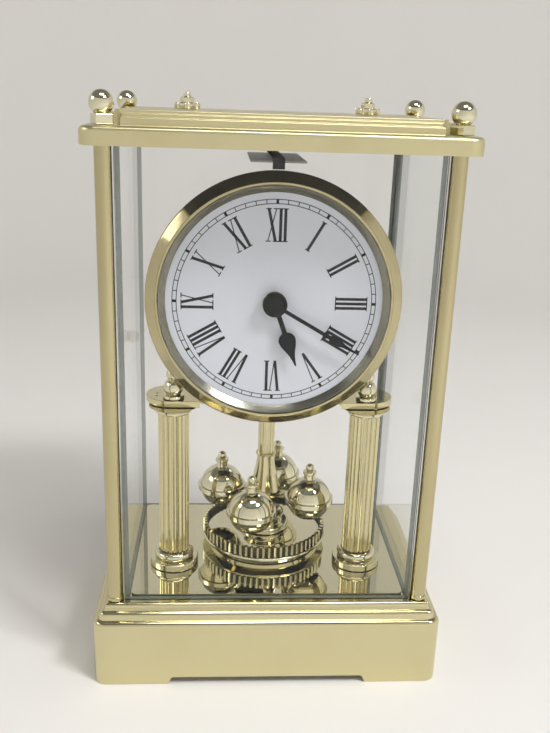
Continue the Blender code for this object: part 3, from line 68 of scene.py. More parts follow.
# What can be set
def colour(name, description, default):
    return FloatVectorProperty(name=name, description=description, subtype="COLOR", size=3,
                               min=0, max=1, default=default)


def length(name, description, default):
    return FloatProperty(name=name, description=description, default=default, min=0,
                         precision=5, unit="LENGTH")


class CLOCK_PG_finishes(bpy.types.PropertyGroup):
    """Colours of the clock's metals, plastics and paints."""
    gilt: colour("Gilt", "Plated mouldings", (0.67, 0.61, 0.37))
    bright_gilt: colour("Bright gilt", "Turned and polished fittings", (0.75, 0.71, 0.51))
    brass: colour("Brass", "Posts and bezel", (0.54, 0.475, 0.275))
    steel: colour("Steel", "Arbors and spindle", (0.56, 0.56, 0.57))
    dial: colour("Dial", "Painted dial", (0.76, 0.79, 0.87))
    ink: colour("Ink", "Numerals and minute track", (0.006, 0.006, 0.008))
    black: colour("Black", "Hands and black mouldings", (0.012, 0.012, 0.013))
    white: colour("White", "Wheels of the motion work", (0.72, 0.72, 0.68))
    hanger: colour("Hanger", "Smoky sheet that the strap passes through", (0.44, 0.44, 0.37))
    clear_edge: colour("Clear edge", "Polished edges of the panes", (0.14, 0.17, 0.15))
    floor: colour("Floor", "Floor and backdrop", (0.80, 0.78, 0.75))


class CLOCK_PG_dial(bpy.types.PropertyGroup):
    """Sizes of the dial's printing."""
    track_inner: length("Track inside", "Inner circle of the minute track", 38.1 * MM)
    track_outer: length("Track outside", "Outer circle of the minute track", 39.7 * MM)
    track_line: length("Track line", "Width of the track's two circles", 0.30 * MM)
    numeral_foot: length("Numeral foot", "Radius at the numerals' feet", 23.7 * MM)
    numeral_head: length("Numeral head", "Radius at the numerals' heads", 36.4 * MM)
    stroke: length("Stroke", "Width of a thick stroke", 1.12 * MM)
    hairline: length("Hairline", "Width of a thin stroke", 0.4 * MM)
    print_height: length("Print height", "How far the printing stands proud", 0.05 * MM)


class CLOCK_PG_columns(bpy.types.PropertyGroup):
    """The fluted columns, the hanging tube and the bell-mouthed sleeve."""
    flutes: IntProperty(name="Flutes", description="Grooves round each column", default=22, min=8)
    flute_depth: length("Flute depth", "Depth of each groove", 0.5 * MM)
    tube_flutes: IntProperty(name="Tube flutes", description="Grooves round the hanging tube",
                             default=12, min=6)


class CLOCK_PG_pendulum(bpy.types.PropertyGroup):
    """The gallery under the pendulum."""
    teeth: IntProperty(name="Teeth", description="Teeth round the gallery", default=66, min=12)
    tooth_width: length("Tooth width", "Width of a tooth", 1.35 * MM)
    tooth_depth: length("Tooth depth", "How far a tooth stands out", 1.4 * MM)


class CLOCK_PG_settings(bpy.types.PropertyGroup):
    """Everything that the panel shows."""
    finishes: PointerProperty(type=CLOCK_PG_finishes)
    dial: PointerProperty(type=CLOCK_PG_dial)
    columns: PointerProperty(type=CLOCK_PG_columns)
    pendulum: PointerProperty(type=CLOCK_PG_pendulum)


def settings():
    return bpy.context.scene.anniversary_clock


# Finishes
class Wire:
    """A socket that takes part in sums."""

    def __init__(self, bench, socket):
        self.bench, self.socket = bench, socket

    def __add__(self, other):
        return self.bench.maths("ADD", self, other)

    def __sub__(self, other):
        return self.bench.maths("SUBTRACT", self, other)

    def __rsub__(self, other):
        return self.bench.maths("SUBTRACT", other, self)

    def __mul__(self, other):
        return self.bench.maths("MULTIPLY", self, other)

    def __truediv__(self, other):
        return self.bench.maths("DIVIDE", self, other)

    def __rtruediv__(self, other):
        return self.bench.maths("DIVIDE", other, self)

    def __pow__(self, other):
        return self.bench.maths("POWER", self, other)

    __radd__ = __add__
    __rmul__ = __mul__


class Bench:
    """Builds one node tree, of a material or of a geometry modifier."""

    def __init__(self, tree):
        self.tree = tree

    def node(self, kind, set_up=None, sockets=None):
        """A node with its settings made first, then the values or links of its sockets."""
        node = self.tree.nodes.new(kind)
        for key, value in (set_up or {}).items():
            if key == "stops":
                ramp = node.color_ramp
                for _ in value[2:]:
                    ramp.elements.new(0.5)
                for element, (place, shade) in zip(ramp.elements, value):
                    element.position = place
                    element.color = (shade, shade, shade, 1)
            else:
                setattr(node, key, value)
        for key, value in (sockets or {}).items():
            self.feed(node.inputs[key], value)
        return node

    def feed(self, socket, value):
        """Links a wire to the socket, or sets its value."""
        if isinstance(value, Wire):
            self.tree.links.new(value.socket, socket)
        else:
            socket.default_value = value

    def wire(self, node, output=0):
        return Wire(self, node.outputs[output])

    def out(self, kind, set_up=None, sockets=None, output=0):
        """An output of a new node."""
        return self.wire(self.node(kind, set_up, sockets), output)

    def maths(self, operation, *values):
        return self.out("ShaderNodeMath", {"operation": operation}, dict(enumerate(values)))

    def limit(self, value):
        """The value, kept between 0 and 1."""
        return self.out("ShaderNodeMath", {"operation": "MULTIPLY", "use_clamp": True},
                        {0: value, 1: 1.0})

    def join(self, x=0.0, y=0.0, z=0.0):
        return self.out("ShaderNodeCombineXYZ", None, {0: x, 1: y, 2: z})

    def apart(self, vector):
        """The three parts of a vector."""
        node = self.node("ShaderNodeSeparateXYZ", None, {0: vector})
        return [self.wire(node, k) for k in range(3)]

    def place(self):
        return self.out("ShaderNodeTexCoord", output="Object")

    def noise(self, scale, detail=3.0, where=None, roughness=0.5):
        return self.out("ShaderNodeTexNoise", None,
                        {"Vector": where or self.place(), "Scale": scale, "Detail": detail,
                         "Roughness": roughness}, "Fac")

    def stretched(self, scale):
        return self.out("ShaderNodeMapping", None, {"Vector": self.place(), "Scale": scale})

    def ramp(self, value, *stops):
        return self.out("ShaderNodeValToRGB", {"stops": stops}, {"Fac": value})

    def mix(self, mask, first, second):
        return self.out("ShaderNodeMix", {"data_type": "RGBA"}, {0: mask, 6: first, 7: second}, 2)

    def tones(self, mask, base, darker, lighter):
        """The base colour, between two shares of its lightness."""
        return self.mix(mask, shaded(base, darker), shaded(base, lighter))

    def bump(self, height, distance, strength=1.0, under=None):
        sockets = {"Height": height, "Distance": distance, "Strength": strength}
        if under:
            sockets["Normal"] = under
        return self.out("ShaderNodeBump", None, sockets)


def shaded(base, share, lift=0.0):
    """A colour made darker or lighter by a share."""
    return (*(min(1.0, c * share + lift) for c in base), 1.0)


FINISHES = {}


def finish(name):
    """The material of that name, made the first time that it is asked for."""
    if name not in FINISHES:
        material = bpy.data.materials.new(name)
        material.use_nodes = True
        bench = Bench(material.node_tree)
        shader = material.node_tree.nodes["Principled BSDF"]
        RECIPES[name](bench, shader, settings().finishes)
        FINISHES[name] = material
    return FINISHES[name]


def put(bench, shader, **sockets):
    """Sets or links the shader's sockets, with _ for a space in a name."""
    for key, value in sockets.items():
        bench.feed(shader.inputs[key.replace("_", " ")], value)


def plated(bench, shader, base, rough, ripple, wear=0.12):
    """Gilt plating: a long ripple from the mould, faint wipe marks, a little tarnish and
    specks where the plating is rubbed pale."""
    cloud = bench.noise(38.0, 4.0)
    wipe = bench.noise(1.0, 5.0, bench.stretched((260.0, 260.0, 900.0)), 0.6)
    speck = bench.noise(2600.0, 2.0)
    tarnish = bench.limit((cloud - 0.5) * 3.0)
    tone = bench.mix(tarnish * wear, shaded(base, 1.0), (base[0] * 0.70, base[1] * 0.60,
                                                         base[2] * 0.45, 1.0))
    rubbed = bench.ramp(bench.noise(520.0, 6.0, None, 0.75), (0.0, 0.0), (0.66, 0.0), (0.70, 1.0))
    tone = bench.mix(rubbed * 0.5, tone, (0.80, 0.79, 0.72, 1.0))
    put(bench, shader, Base_Color=tone, Metallic=1.0,
        Roughness=rough + rubbed * 0.12 + bench.limit((wipe - 0.45) * 2.0) * 0.07 + tarnish * 0.05,
        Normal=bench.bump(bench.noise(85.0, 1.0), ripple, 1.0,
                          bench.bump(speck, 0.000002, 0.5)))


def gilt(bench, shader, colours):
    plated(bench, shader, colours.gilt, 0.10, 0.00005)


def satin_gilt(bench, shader, colours):
    """The roof's plating, dulled by handling."""
    plated(bench, shader, colours.gilt, 0.31, 0.00004, 0.3)


def dulled_mirror(bench, shader, colours):
    """The sloping ring inside the bezel: plated, its base colour darkened as painted shade for its
    place under the bezel; the mottling is its own.
    """
    cloud = bench.noise(150.0, 4.0)
    put(bench, shader, Base_Color=bench.mix(cloud, (0.24, 0.23, 0.19, 1), (0.38, 0.37, 0.31, 1)),
        Metallic=1.0, Roughness=0.16 + cloud * 0.12,
        Normal=bench.bump(bench.noise(500.0), 0.000008, 0.2))


def groove(bench, shader, colours):
    """Plating at the bottom of narrow gaps, darkened far below the gilt as painted shade for the
    deep gaps between the gallery's teeth; its mottling is random tone.
    """
    cloud = bench.noise(400.0, 3.0)
    put(bench, shader, Base_Color=bench.tones(cloud, colours.gilt, 0.07, 0.16),
        Metallic=0.7, Roughness=0.35 + cloud * 0.2)


def hanger_sheet(bench, shader, colours):
    """Smoky moulded sheet that lets part of the view through."""
    cloud = bench.noise(120.0, 3.0)
    put(bench, shader, Base_Color=bench.tones(cloud, colours.hanger, 0.9, 1.1),
        Roughness=0.3 + cloud * 0.1, Alpha=0.66,
        Normal=bench.bump(bench.noise(900.0), 0.00001, 0.5))


def bright_gilt(bench, shader, colours):
    plated(bench, shader, colours.bright_gilt, 0.045, 0.00002, 0.08)


def brass(bench, shader, colours):
    plated(bench, shader, colours.brass, 0.09, 0.00003, 0.2)


def mirror_gilt(bench, shader, colours):
    """Thin polished sheet: nearly flat, with a few fine hairline scratches."""
    scratch = bench.noise(1.0, 2.0, bench.stretched((60.0, 2400.0, 60.0)), 0.7)
    mark = bench.ramp(scratch, (0.0, 0.0), (0.66, 0.0), (0.72, 1.0))
    put(bench, shader, Base_Color=bench.tones(bench.noise(30.0), colours.bright_gilt, 1.0, 0.95),
        Metallic=1.0, Roughness=0.02 + mark * 0.12,
        Normal=bench.bump(bench.noise(16.0, 0.0), 0.00004))


def steel(bench, shader, colours):
    grain = bench.noise(1.0, 4.0, bench.stretched((900.0, 900.0, 60.0)))
    put(bench, shader, Base_Color=bench.tones(grain, colours.steel, 0.9, 1.1),
        Metallic=1.0, Roughness=0.22 + grain * 0.12)


def clear(bench, shader, colours):
    """A polished acrylic face: it lets the view through, and its sheen grows
    towards a grazing view. A trace of dust lies on it."""
    sheen = bench.out("ShaderNodeFresnel", None, {"IOR": 1.45})
    dust = bench.ramp(bench.noise(700.0, 5.0, None, 0.7), (0.0, 0.0), (0.62, 0.0), (0.9, 1.0))
    put(bench, shader, Base_Color=(0.93, 0.96, 0.95, 1.0), Metallic=1.0,
        Roughness=0.02 + dust * 0.2, Alpha=bench.limit(sheen * 0.34 + dust * 0.02))


def clear_edge(bench, shader, colours):
    """The sawn and polished edge of the sheet, which gathers light."""
    saw = bench.noise(1.0, 3.0, bench.stretched((1500.0, 1500.0, 120.0)))
    put(bench, shader, Base_Color=bench.tones(saw, colours.clear_edge, 0.85, 1.2),
        Roughness=0.12 + saw * 0.15, Alpha=0.8, Specular_IOR_Level=0.7)


def dial_white(bench, shader, colours):
    """Smooth sprayed paint with a very fine orange peel."""
    cloud = bench.noise(22.0, 3.0)
    put(bench, shader, Base_Color=bench.tones(cloud, colours.dial, 0.975, 1.02),
        Roughness=0.36 + bench.noise(300.0) * 0.1,
        Normal=bench.bump(bench.noise(1700.0, 2.0), 0.000004, 0.6))


def ink(bench, shader, colours):
    edge = bench.noise(1800.0, 2.0)
    put(bench, shader, Base_Color=bench.tones(edge, colours.ink, 0.8, 1.8),
        Roughness=0.38 + edge * 0.1)


def hand_black(bench, shader, colours):
    grain = bench.noise(2400.0, 3.0)
    put(bench, shader, Base_Color=bench.tones(grain, colours.black, 0.8, 1.5),
        Roughness=0.5 + grain * 0.12, Normal=bench.bump(grain, 0.00001, 0.4),
        Specular_IOR_Level=0.22)


def black_plastic(bench, shader, colours):
    """Moulded plastic with a spark-eroded grain and a few rubbed places."""
    grain = bench.noise(3200.0, 3.0)
    rub = bench.ramp(bench.noise(90.0, 4.0), (0.0, 0.0), (0.52, 0.0), (0.75, 1.0))
    put(bench, shader, Base_Color=bench.mix(rub, shaded(colours.black, 1.3),
                                            shaded(colours.black, 2.0, 0.012)),
        Roughness=0.5 - rub * 0.12, Normal=bench.bump(grain, 0.00003, 0.7))


def white_plastic(bench, shader, colours):
    cloud = bench.noise(60.0)
    put(bench, shader, Base_Color=bench.tones(cloud, colours.white, 0.94, 1.04),
        Roughness=0.42, Normal=bench.bump(bench.noise(1500.0), 0.00001, 0.5))


def cell_wrap(bench, shader, colours):
    """Shrink wrap on the cell: a dark body with a copper-toned end, and no print."""
    along = bench.apart(bench.place())[0]
    end = bench.ramp((along * 1000.0 + 30.0) / 60.0, (0.0, 0.0), (0.79, 0.0), (0.795, 1.0))
    put(bench, shader, Base_Color=bench.mix(end, (0.02, 0.022, 0.027, 1), (0.5, 0.27, 0.12, 1)),
        Metallic=0.35, Roughness=0.28 + bench.noise(400.0) * 0.1)


# Near-black painted shade that stands in for the depth of screw slots and small holes.
def pit(bench, shader, colours):
    put(bench, shader, Base_Color=(0.01, 0.009, 0.008, 1), Roughness=0.7 + bench.noise(900.0) * 0.2)


def floor(bench, shader, colours):
    """Pale card, even, with the least mottling."""
    cloud = bench.noise(6.0, 4.0)
    put(bench, shader, Base_Color=bench.tones(cloud, colours.floor, 0.985, 1.015),
        Roughness=0.75, Normal=bench.bump(bench.noise(900.0), 0.00002, 0.3))


RECIPES = {recipe.__name__: recipe for recipe in (
    gilt, bright_gilt, brass, mirror_gilt, satin_gilt, groove, dulled_mirror, hanger_sheet, steel,
    clear, clear_edge, dial_white, ink, hand_black, black_plastic, white_plastic, cell_wrap, pit,
    floor)}


def dress(finish_name, *nodes):
    """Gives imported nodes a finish."""
    for name in nodes:
        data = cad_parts[name].data
        if not data.materials:
            data.materials.append(None)
        for k in range(len(data.materials)):
            data.materials[k] = finish(finish_name)


# Shape tools
def box(node):
    """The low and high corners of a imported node, in millimetres."""
    low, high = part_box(node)
    return Vector(low) / MM, Vector(high) / MM


def middle(node):
    """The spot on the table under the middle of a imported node."""
    low, high = box(node)
    return Vector(((low.x + high.x) / 2, (low.y + high.y) / 2, 0))


def sizes(group):
    """The numbers of one group of settings, its lengths in millimetres."""
    values = getattr(settings(), group)
    found = {name: getattr(values, name) for name in values.__annotations__}
    return SimpleNamespace(**{name: value / MM if isinstance(value, float) else value
                              for name, value in found.items()})


def eased(profile, ease, steps=4):
    """The profile with its corners rounded, apart from its two ends. ease is one
    radius, or one for each point."""
    eases = ease if isinstance(ease, (list, tuple)) else [ease] * len(profile)
    points = [Vector(p) for p in profile]
    out = [tuple(points[0])]
    for before, point, after, radius in zip(points, points[1:], points[2:], eases[1:]):
        back, on = before - point, after - point
        if radius <= 0 or back.length == 0 or on.length == 0 or back.angle(on) > math.radians(170):
            out.append(tuple(point))
            continue
        reach = min(radius, back.length * 0.48, on.length * 0.48)
        start, end = point + back.normalized() * reach, point + on.normalized() * reach
        for k in range(steps + 1):
            t = k / steps
            out.append(tuple(start * (1 - t) ** 2 + point * (2 * t * (1 - t)) + end * t ** 2))
    out.append(tuple(points[-1]))
    return out


def arc(radius, start, end, centre=(0, 0), steps=12):
    return [(centre[0] + radius * math.cos(math.radians(start + (end - start) * k / steps)),
             centre[1] + radius * math.sin(math.radians(start + (end - start) * k / steps)))
            for k in range(steps + 1)]


def skin(bm, rings, close=False, index=0):
    """Joins rings of equal count, each the next one down, with faces that point out."""
    pairs = list(zip(rings, rings[1:])) + ([(rings[-1], rings[0])] if close else [])
    for upper, lower in pairs:
        count = max(len(upper), len(lower))
        for k in range(count):
            after = (k + 1) % count
            if len(upper) == 1:
                corners = (upper[0], lower[k], lower[after])
            elif len(lower) == 1:
                corners = (upper[k], lower[0], upper[after])
            else:
                corners = (upper[k], lower[k], lower[after], upper[after])
            bm.faces.new(corners).material_index = index


def lathe(bm, profile, spot=(0, 0, 0), facing=UPRIGHT, steps=64, index=0):
    """Turns a profile that runs down its outside from the top."""
    matrix = Matrix.Translation(spot) @ facing
    rings = []
    for radius, height in profile:
        count = steps if radius > 0.01 else 1
        rings.append([bm.verts.new(matrix @ Vector((radius * math.cos(2 * math.pi * k / steps),
                                                    radius * math.sin(2 * math.pi * k / steps),
                                                    height))) for k in range(count)])
    skin(bm, rings, close=len(rings[0]) > 1 and len(rings[-1]) > 1, index=index)


def rounded(half_x, half_y, corner, steps=8):
    points = []
    for turn, (sx, sy) in enumerate(((1, 1), (-1, 1), (-1, -1), (1, -1))):
        points += arc(corner, turn * 90, turn * 90 + 90,
                      (sx * (half_x - corner), sy * (half_y - corner)), steps)
    return points


def moulding(bm, half_x, half_y, corner, profile, centre=(0, 0), index=0, round_steps=8):
    """A rounded rectangle swept along (inset, height) points from its top to its last ring,
    and closed at both ends."""
    rings = []
    for inset, height in profile:
        loop = rounded(half_x - inset, half_y - inset, max(corner - inset, 0.3), round_steps)
        rings.append([bm.verts.new((centre[0] + x, centre[1] + y, height)) for x, y in loop])
    skin(bm, rings, index=index)
    bm.faces.new(rings[0]).material_index = index
    bm.faces.new(list(reversed(rings[-1]))).material_index = index


def block(bm, low, high, ease=0.3, index=0, matrix=UPRIGHT, segments=2):
    """A box with eased edges. Returns its faces."""
    before = set(bm.faces)
    made = bmesh.ops.create_cube(bm, size=1)["verts"]
    low, high = Vector(low), Vector(high)
    bmesh.ops.scale(bm, vec=high - low, verts=made)
    bmesh.ops.translate(bm, vec=(high + low) / 2, verts=made)
    bmesh.ops.transform(bm, matrix=matrix, verts=made)
    if ease:
        edges = list(dict.fromkeys(edge for vert in made for edge in vert.link_edges))
        bmesh.ops.bevel(bm, geom=edges, offset=ease, segments=segments, profile=0.5,
                        affect="EDGES")
    faces = [face for face in bm.faces if face not in before]
    for face in faces:
        face.material_index = index
    return faces


def plate(bm, loop, low, high, matrix=UPRIGHT, ease=0, index=0):
    """A flat piece from its outline, which runs anticlockwise seen from its top."""
    profile = [(0, high), (0, low)]
    if ease:
        profile = [(ease, high), (ease * 0.3, high - ease * 0.3), (0, high - ease),
                   (0, low + ease), (ease * 0.3, low + ease * 0.3), (ease, low)]
    count = len(loop)
    rings = []
    for inset, height in profile:
        ring = []
        for k in range(count):
            before, point, after = (Vector(loop[k - 1]), Vector(loop[k]),
                                    Vector(loop[(k + 1) % count]))
            along = (after - before).normalized() if (after - before).length else Vector((1, 0))
            inward = Vector((-along.y, along.x))
            x, y = point + inward * inset
            ring.append(bm.verts.new(matrix @ Vector((x, y, height))))
        rings.append(ring)
    skin(bm, rings, index=index)
    bm.faces.new(rings[0]).material_index = index
    bm.faces.new(list(reversed(rings[-1]))).material_index = index


def placed(name, bm):
    """The bmesh as an object in the scene, for a modifier to use."""
    obj = bpy.data.objects.new(name, bpy.data.meshes.new(name))
    bm.to_mesh(obj.data)
    bm.free()
    bpy.context.scene.collection.objects.link(obj)
    return obj


def evaluated_mesh(obj):
    """The object's mesh after its modifiers."""
    graph = bpy.context.evaluated_depsgraph_get()
    return bpy.data.meshes.new_from_object(obj.evaluated_get(graph))


def finished(name, bm, finishes, body, *nodes, crease=32.0):
    """Makes the piece, rides it on its body and hides the nodes that it stands for."""
    mesh = bpy.data.meshes.new(name)
    bm.to_mesh(mesh)
    bm.free()
    mesh.transform(Matrix.Scale(MM, 4))
    for each in ([finishes] if isinstance(finishes, str) else finishes):
        mesh.materials.append(finish(each))
    mesh.shade_smooth()
    mesh.set_sharp_from_angle(angle=math.radians(crease))
    piece = bpy.data.objects.new(name, mesh)
    bpy.context.scene.collection.objects.link(piece)
    even = piece.modifiers.new("Even shading", "WEIGHTED_NORMAL")
    even.keep_sharp = True
    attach(piece, body)
    if nodes:
        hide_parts(*nodes)


def turned(name, node, coat, profile, spot, facing=UPRIGHT, steps=64, body="clock"):
    """A piece made by turning one profile."""
    bm = bmesh.new()
    lathe(bm, profile, spot, facing, steps)
    finished(name, bm, coat, body, node)


def cut(bm, cutters):
    """The bmesh with other bmeshes cut out of it, as a new bmesh."""
    stock = placed("stock", bm)
    tools = [placed("cutter", cutter) for cutter in cutters]
    for tool in tools:
        modifier = stock.modifiers.new("Cut", "BOOLEAN")
        modifier.operation = "DIFFERENCE"
        modifier.solver = "EXACT"
        modifier.object = tool
    result = bmesh.new()
    result.from_mesh(evaluated_mesh(stock))
    for obj in [stock] + tools:
        bpy.data.objects.remove(obj, do_unlink=True)
    return result


# Shapes that follow rules
def new_tree(name, inputs):
    tree = bpy.data.node_groups.new(name, "GeometryNodeTree")
    tree.interface.new_socket("Geometry", in_out="OUTPUT", socket_type="NodeSocketGeometry")
    for label, kind in inputs:
        tree.interface.new_socket(label, in_out="INPUT", socket_type="NodeSocket" + kind)
    bench = Bench(tree)
    entry = bench.node("NodeGroupInput")
    return bench, {label: bench.wire(entry, label) for label, _ in inputs}


def close_tree(bench, shape, material):
    real = bench.out("GeometryNodeRealizeInstances", None, {0: shape})
    coat = bench.out("GeometryNodeSetMaterial", None, {"Geometry": real, "Material": material})
    bench.node("NodeGroupOutput", None, {0: coat})
    return bench.tree


def tooth_tree():
    """A ring of equal bars, each with a flat side that faces outwards."""
    bench, given = new_tree("Ring of teeth", [
        ("Count", "Int"), ("Sides", "Int"), ("Radius", "Float"), ("Width", "Float"),
        ("Depth", "Float"), ("Height", "Float"), ("Material", "Material")])
    ring = bench.out("GeometryNodeMeshCircle", None,
                     {"Vertices": given["Count"], "Radius": given["Radius"]})
    half = math.pi / given["Sides"]
    bar = bench.out("GeometryNodeMeshCylinder", {"fill_type": "NGON"},
                    {"Vertices": given["Sides"], "Radius": 0.5 / bench.maths("COSINE", half),
                     "Depth": 1.0})
    tooth = bench.out("GeometryNodeTransform", None,
                      {"Geometry": bar, "Rotation": bench.join(z=half)})
    x, y, z = bench.apart(bench.out("GeometryNodeInputPosition"))
    copies = bench.out("GeometryNodeInstanceOnPoints", None, {
        "Points": ring, "Instance": tooth, "Rotation": bench.join(z=bench.maths("ARCTAN2", y, x)),
        "Scale": bench.join(given["Depth"], given["Width"], given["Height"])})
    return close_tree(bench, copies, given["Material"])


def fluted_tree():
    """An upright fluted bar that may flare towards its foot. Its grooves meet in fine
    ridges."""
    bench, given = new_tree("Fluted bar", [
        ("Flutes", "Int"), ("Top Radius", "Float"), ("Flare", "Float"), ("Curve", "Float"),
        ("Groove", "Float"), ("Height", "Float"), ("Rings", "Int"), ("Material", "Material")])
    bar = bench.out("GeometryNodeMeshCylinder", {"fill_type": "NGON"},
                    {"Vertices": given["Flutes"] * 12, "Side Segments": given["Rings"],
                     "Radius": 1.0, "Depth": given["Height"]})
    x, y, z = bench.apart(bench.out("GeometryNodeInputPosition"))
    angle = bench.maths("ARCTAN2", y, x)
    share = bench.limit(0.5 - z / given["Height"])
    radius = given["Top Radius"] + given["Flare"] * share ** given["Curve"]
    groove = bench.maths("ABSOLUTE", bench.maths("COSINE", angle * given["Flutes"] * 0.5))
    reach = radius - groove * given["Groove"] * radius / (given["Top Radius"] + given["Flare"])
    spot = bench.join(bench.maths("COSINE", angle) * reach, bench.maths("SINE", angle) * reach, z)
    moved = bench.out("GeometryNodeSetPosition", None, {"Geometry": bar, "Position": spot})
    return close_tree(bench, moved, given["Material"])


TREES = {}


def grow(maker, coat, **values):
    """Runs a geometry tree and returns its result as a plain mesh."""
    if maker not in TREES:
        TREES[maker] = maker()
    values["Material"] = finish(coat)
    obj = placed("growing", bmesh.new())
    modifier = obj.modifiers.new("Grow", "NODES")
    modifier.node_group = TREES[maker]
    for item in TREES[maker].interface.items_tree:
        if item.in_out == "INPUT":
            modifier[item.identifier] = values[item.name.replace(" ", "_")]
    mesh = evaluated_mesh(obj)
    bpy.data.objects.remove(obj, do_unlink=True)
    return mesh


def add_mesh(bm, mesh, spot=(0, 0, 0), facing=UPRIGHT, index=0):
    """Puts a plain mesh into a bmesh at its place."""
    mesh.transform(Matrix.Translation(spot) @ facing)
    before = len(bm.faces)
    bm.from_mesh(mesh)
    bm.faces.ensure_lookup_table()
    for face in bm.faces[before:]:
        face.material_index = index
    bpy.data.meshes.remove(mesh)


# The base
def screw_head(bm, spot, facing, radius=2.6, slot=1):
    """A dished head with a cross slot."""
    matrix = Matrix.Translation(spot) @ facing
    lathe(bm, eased([(0, 0.9), (radius * 0.7, 0.75), (radius, 0.1),
                     (radius, 0), (0, 0)], 0.25), spot, facing, 28)
    # The cross slot is a near-black bar laid across the head: painted shade for the slot's depth.
    for turn in (0, math.pi / 2):
        block(bm, (-radius * 0.6, -0.3, 0.6), (radius * 0.6, 0.3, 0.93), 0,
              slot, matrix @ Matrix.Rotation(turn, 4, "Z"))


def build_base():
    high = box("base_shell")[1]
    top, wall, inset = high.z, 2.2, 2.4
    skirt, shoulder, under_deck = top - 5.8, top - 2.7, 2 * inset + wall
    profile = [(2 * inset + 3.0, top)]
    for left, height, roll in ((2 * inset, top, 1.3), (inset, shoulder, 1.9), (0, skirt, 2.1)):
        profile += [(left + roll - roll * math.sin(t), height - roll + roll * math.cos(t))
                    for t in (math.pi / 2 * k / 7 for k in range(8))]
        profile.append((left, height - roll - 0.2))
    profile += eased([(0, 1.0), (0, 0), (wall, 0), (wall, skirt - wall),
                      (under_deck, skirt - wall), (under_deck, top - wall)], 0.4)
    bm = bmesh.new()
    moulding(bm, high.x, high.y, 5.0, profile, round_steps=12)
    notch = bmesh.new()
    half, rise, slope, past = 39.0, 3.2, 2.0, 2
    right = [(half + slope, -past), (half + slope * 0.6, 0), (half, rise - 0.5),
             (half - 0.8, rise)]
    plate(notch, [(-half - slope, -past)] + right + [(-x, y) for x, y in reversed(right[1:])],
          -high.y - past, high.y + past, FORWARD)
    finished("base_moulding", cut(bm, [notch]), "gilt", "clock", "base_shell")

    low, high = box("base_cover")
    bm = bmesh.new()
    moulding(bm, high.x, high.y, 2.8,
             eased([(0.4, high.z), (0, high.z), (0, low.z), (2.0, low.z)], 0.4), round_steps=6)
    for x in (-0.86, 0.86):
        for y in (-0.78, 0.78):
            screw_head(bm, (x * high.x, y * high.y, low.z), Matrix.Rotation(math.pi, 4, "X"))
    for x in range(-27, 28, 9):
        block(bm, (x - 1.2, -18, low.z - 0.5), (x + 1.2, 18, low.z), 0.2)
    finished("base_underside", bm, ["black_plastic", "pit"], "clock", "base_cover")
    dress("mirror_gilt", "base_plate")
    dress("steel", "column_bolt_left", "column_bolt_right")


# The case
def pane(bm, low, high, thin):
    """A clear sheet whose narrow sides carry the edge finish. thin is the axis of its
    thickness."""
    for face in block(bm, low, high, 0.22):
        face.normal_update()
        face.material_index = 0 if abs(face.normal[thin]) > 0.9 else 1


def build_door():
    low, high = box("rear_door")
    pin_low, pin_high = box("hinge_pin")
    hinge = (pin_low + pin_high) / 2
    thickness, knuckles, groove_half, groove_depth = 2.0, 5, 0.3, 0.35
    back = hinge.y + thickness / 2
    bm = bmesh.new()
    pane(bm, (low.x, back - thickness, low.z), (hinge.x - 1.5, back, high.z), 1)
    barrel = high.y - hinge.y
    profile = [(0, high.z), (barrel, high.z)]
    for k in range(1, knuckles):
        z = high.z + (low.z - high.z) * k / knuckles
        profile += [(barrel, z + groove_half), (barrel - groove_depth, z),
                    (barrel, z - groove_half)]
    profile += [(barrel, low.z), (0, low.z)]
    lathe(bm, eased(profile, 0.2, 2), (hinge.x, hinge.y, 0), UPRIGHT, 28, 1)
    finished("rear_door_sheet", bm, ["clear", "clear_edge"], "door", "rear_door", crease=20)

    low, high = box("door_knob")
    radius, depth = (high.x - low.x) / 2, high.y - low.y
    turned("door_pull", "door_knob", "brass",
           eased([(0, depth * 0.96), (radius * 0.7, depth), (radius, depth * 0.86),
                  (radius * 0.96, depth * 0.5), (radius * 0.5, depth * 0.3),
                  (radius * 0.5, depth * 0.08), (radius * 0.6, 0), (0, 0)], 0.3),
           ((low.x + high.x) / 2, low.y, (low.z + high.z) / 2), BACKWARD, 40, "door")
    dress("brass", "hinge_pin")


def build_case():
    for name, thin in (("front_pane", 1), ("left_pane", 0), ("right_pane", 0)):
        bm = bmesh.new()
        pane(bm, *box(name), thin)
        finished(name + "_sheet", bm, ["clear", "clear_edge"], "clock", name, crease=20)
    build_door()
    collar_foot = box("base_shell")[1].z + 0.3
    collar_top = collar_foot + 1.6
    for name in ("post_left", "post_right"):
        low, high = box(name)
        radius, collar = 3.05, (high.x - low.x) / 2
        turned(name + "_tube", name, "brass",
               eased([(0, high.z), (radius, high.z), (radius, collar_top), (collar, collar_top),
                      (collar, collar_foot), (0, collar_foot)], 0.25), middle(name))


# The roof
def build_finial(name, turn, ledge):
    """A ball on its neck over a square block, which is turned as it was screwed on."""
    spot = middle(name)
    radius, neck, half = 4.3, 2.4, 3.1
    centre, foot, top = box(name)[1].z - radius, ledge + 0.3, ledge + 3.7
    end = -math.degrees(math.acos(neck / radius))
    bm = bmesh.new()
    lathe(bm, [(0, centre + radius)] + arc(radius, 88, end, (0, centre), 28)
          + [(neck, top - 0.6), (0, top - 0.6)], spot)
    block(bm, (-half, -half, foot), (half, half, top), 0.35, 0,
          Matrix.Translation(spot) @ Matrix.Rotation(math.radians(turn), 4, "Z"), 3)
    finished(name + "_ball", bm, "bright_gilt", "clock", name)


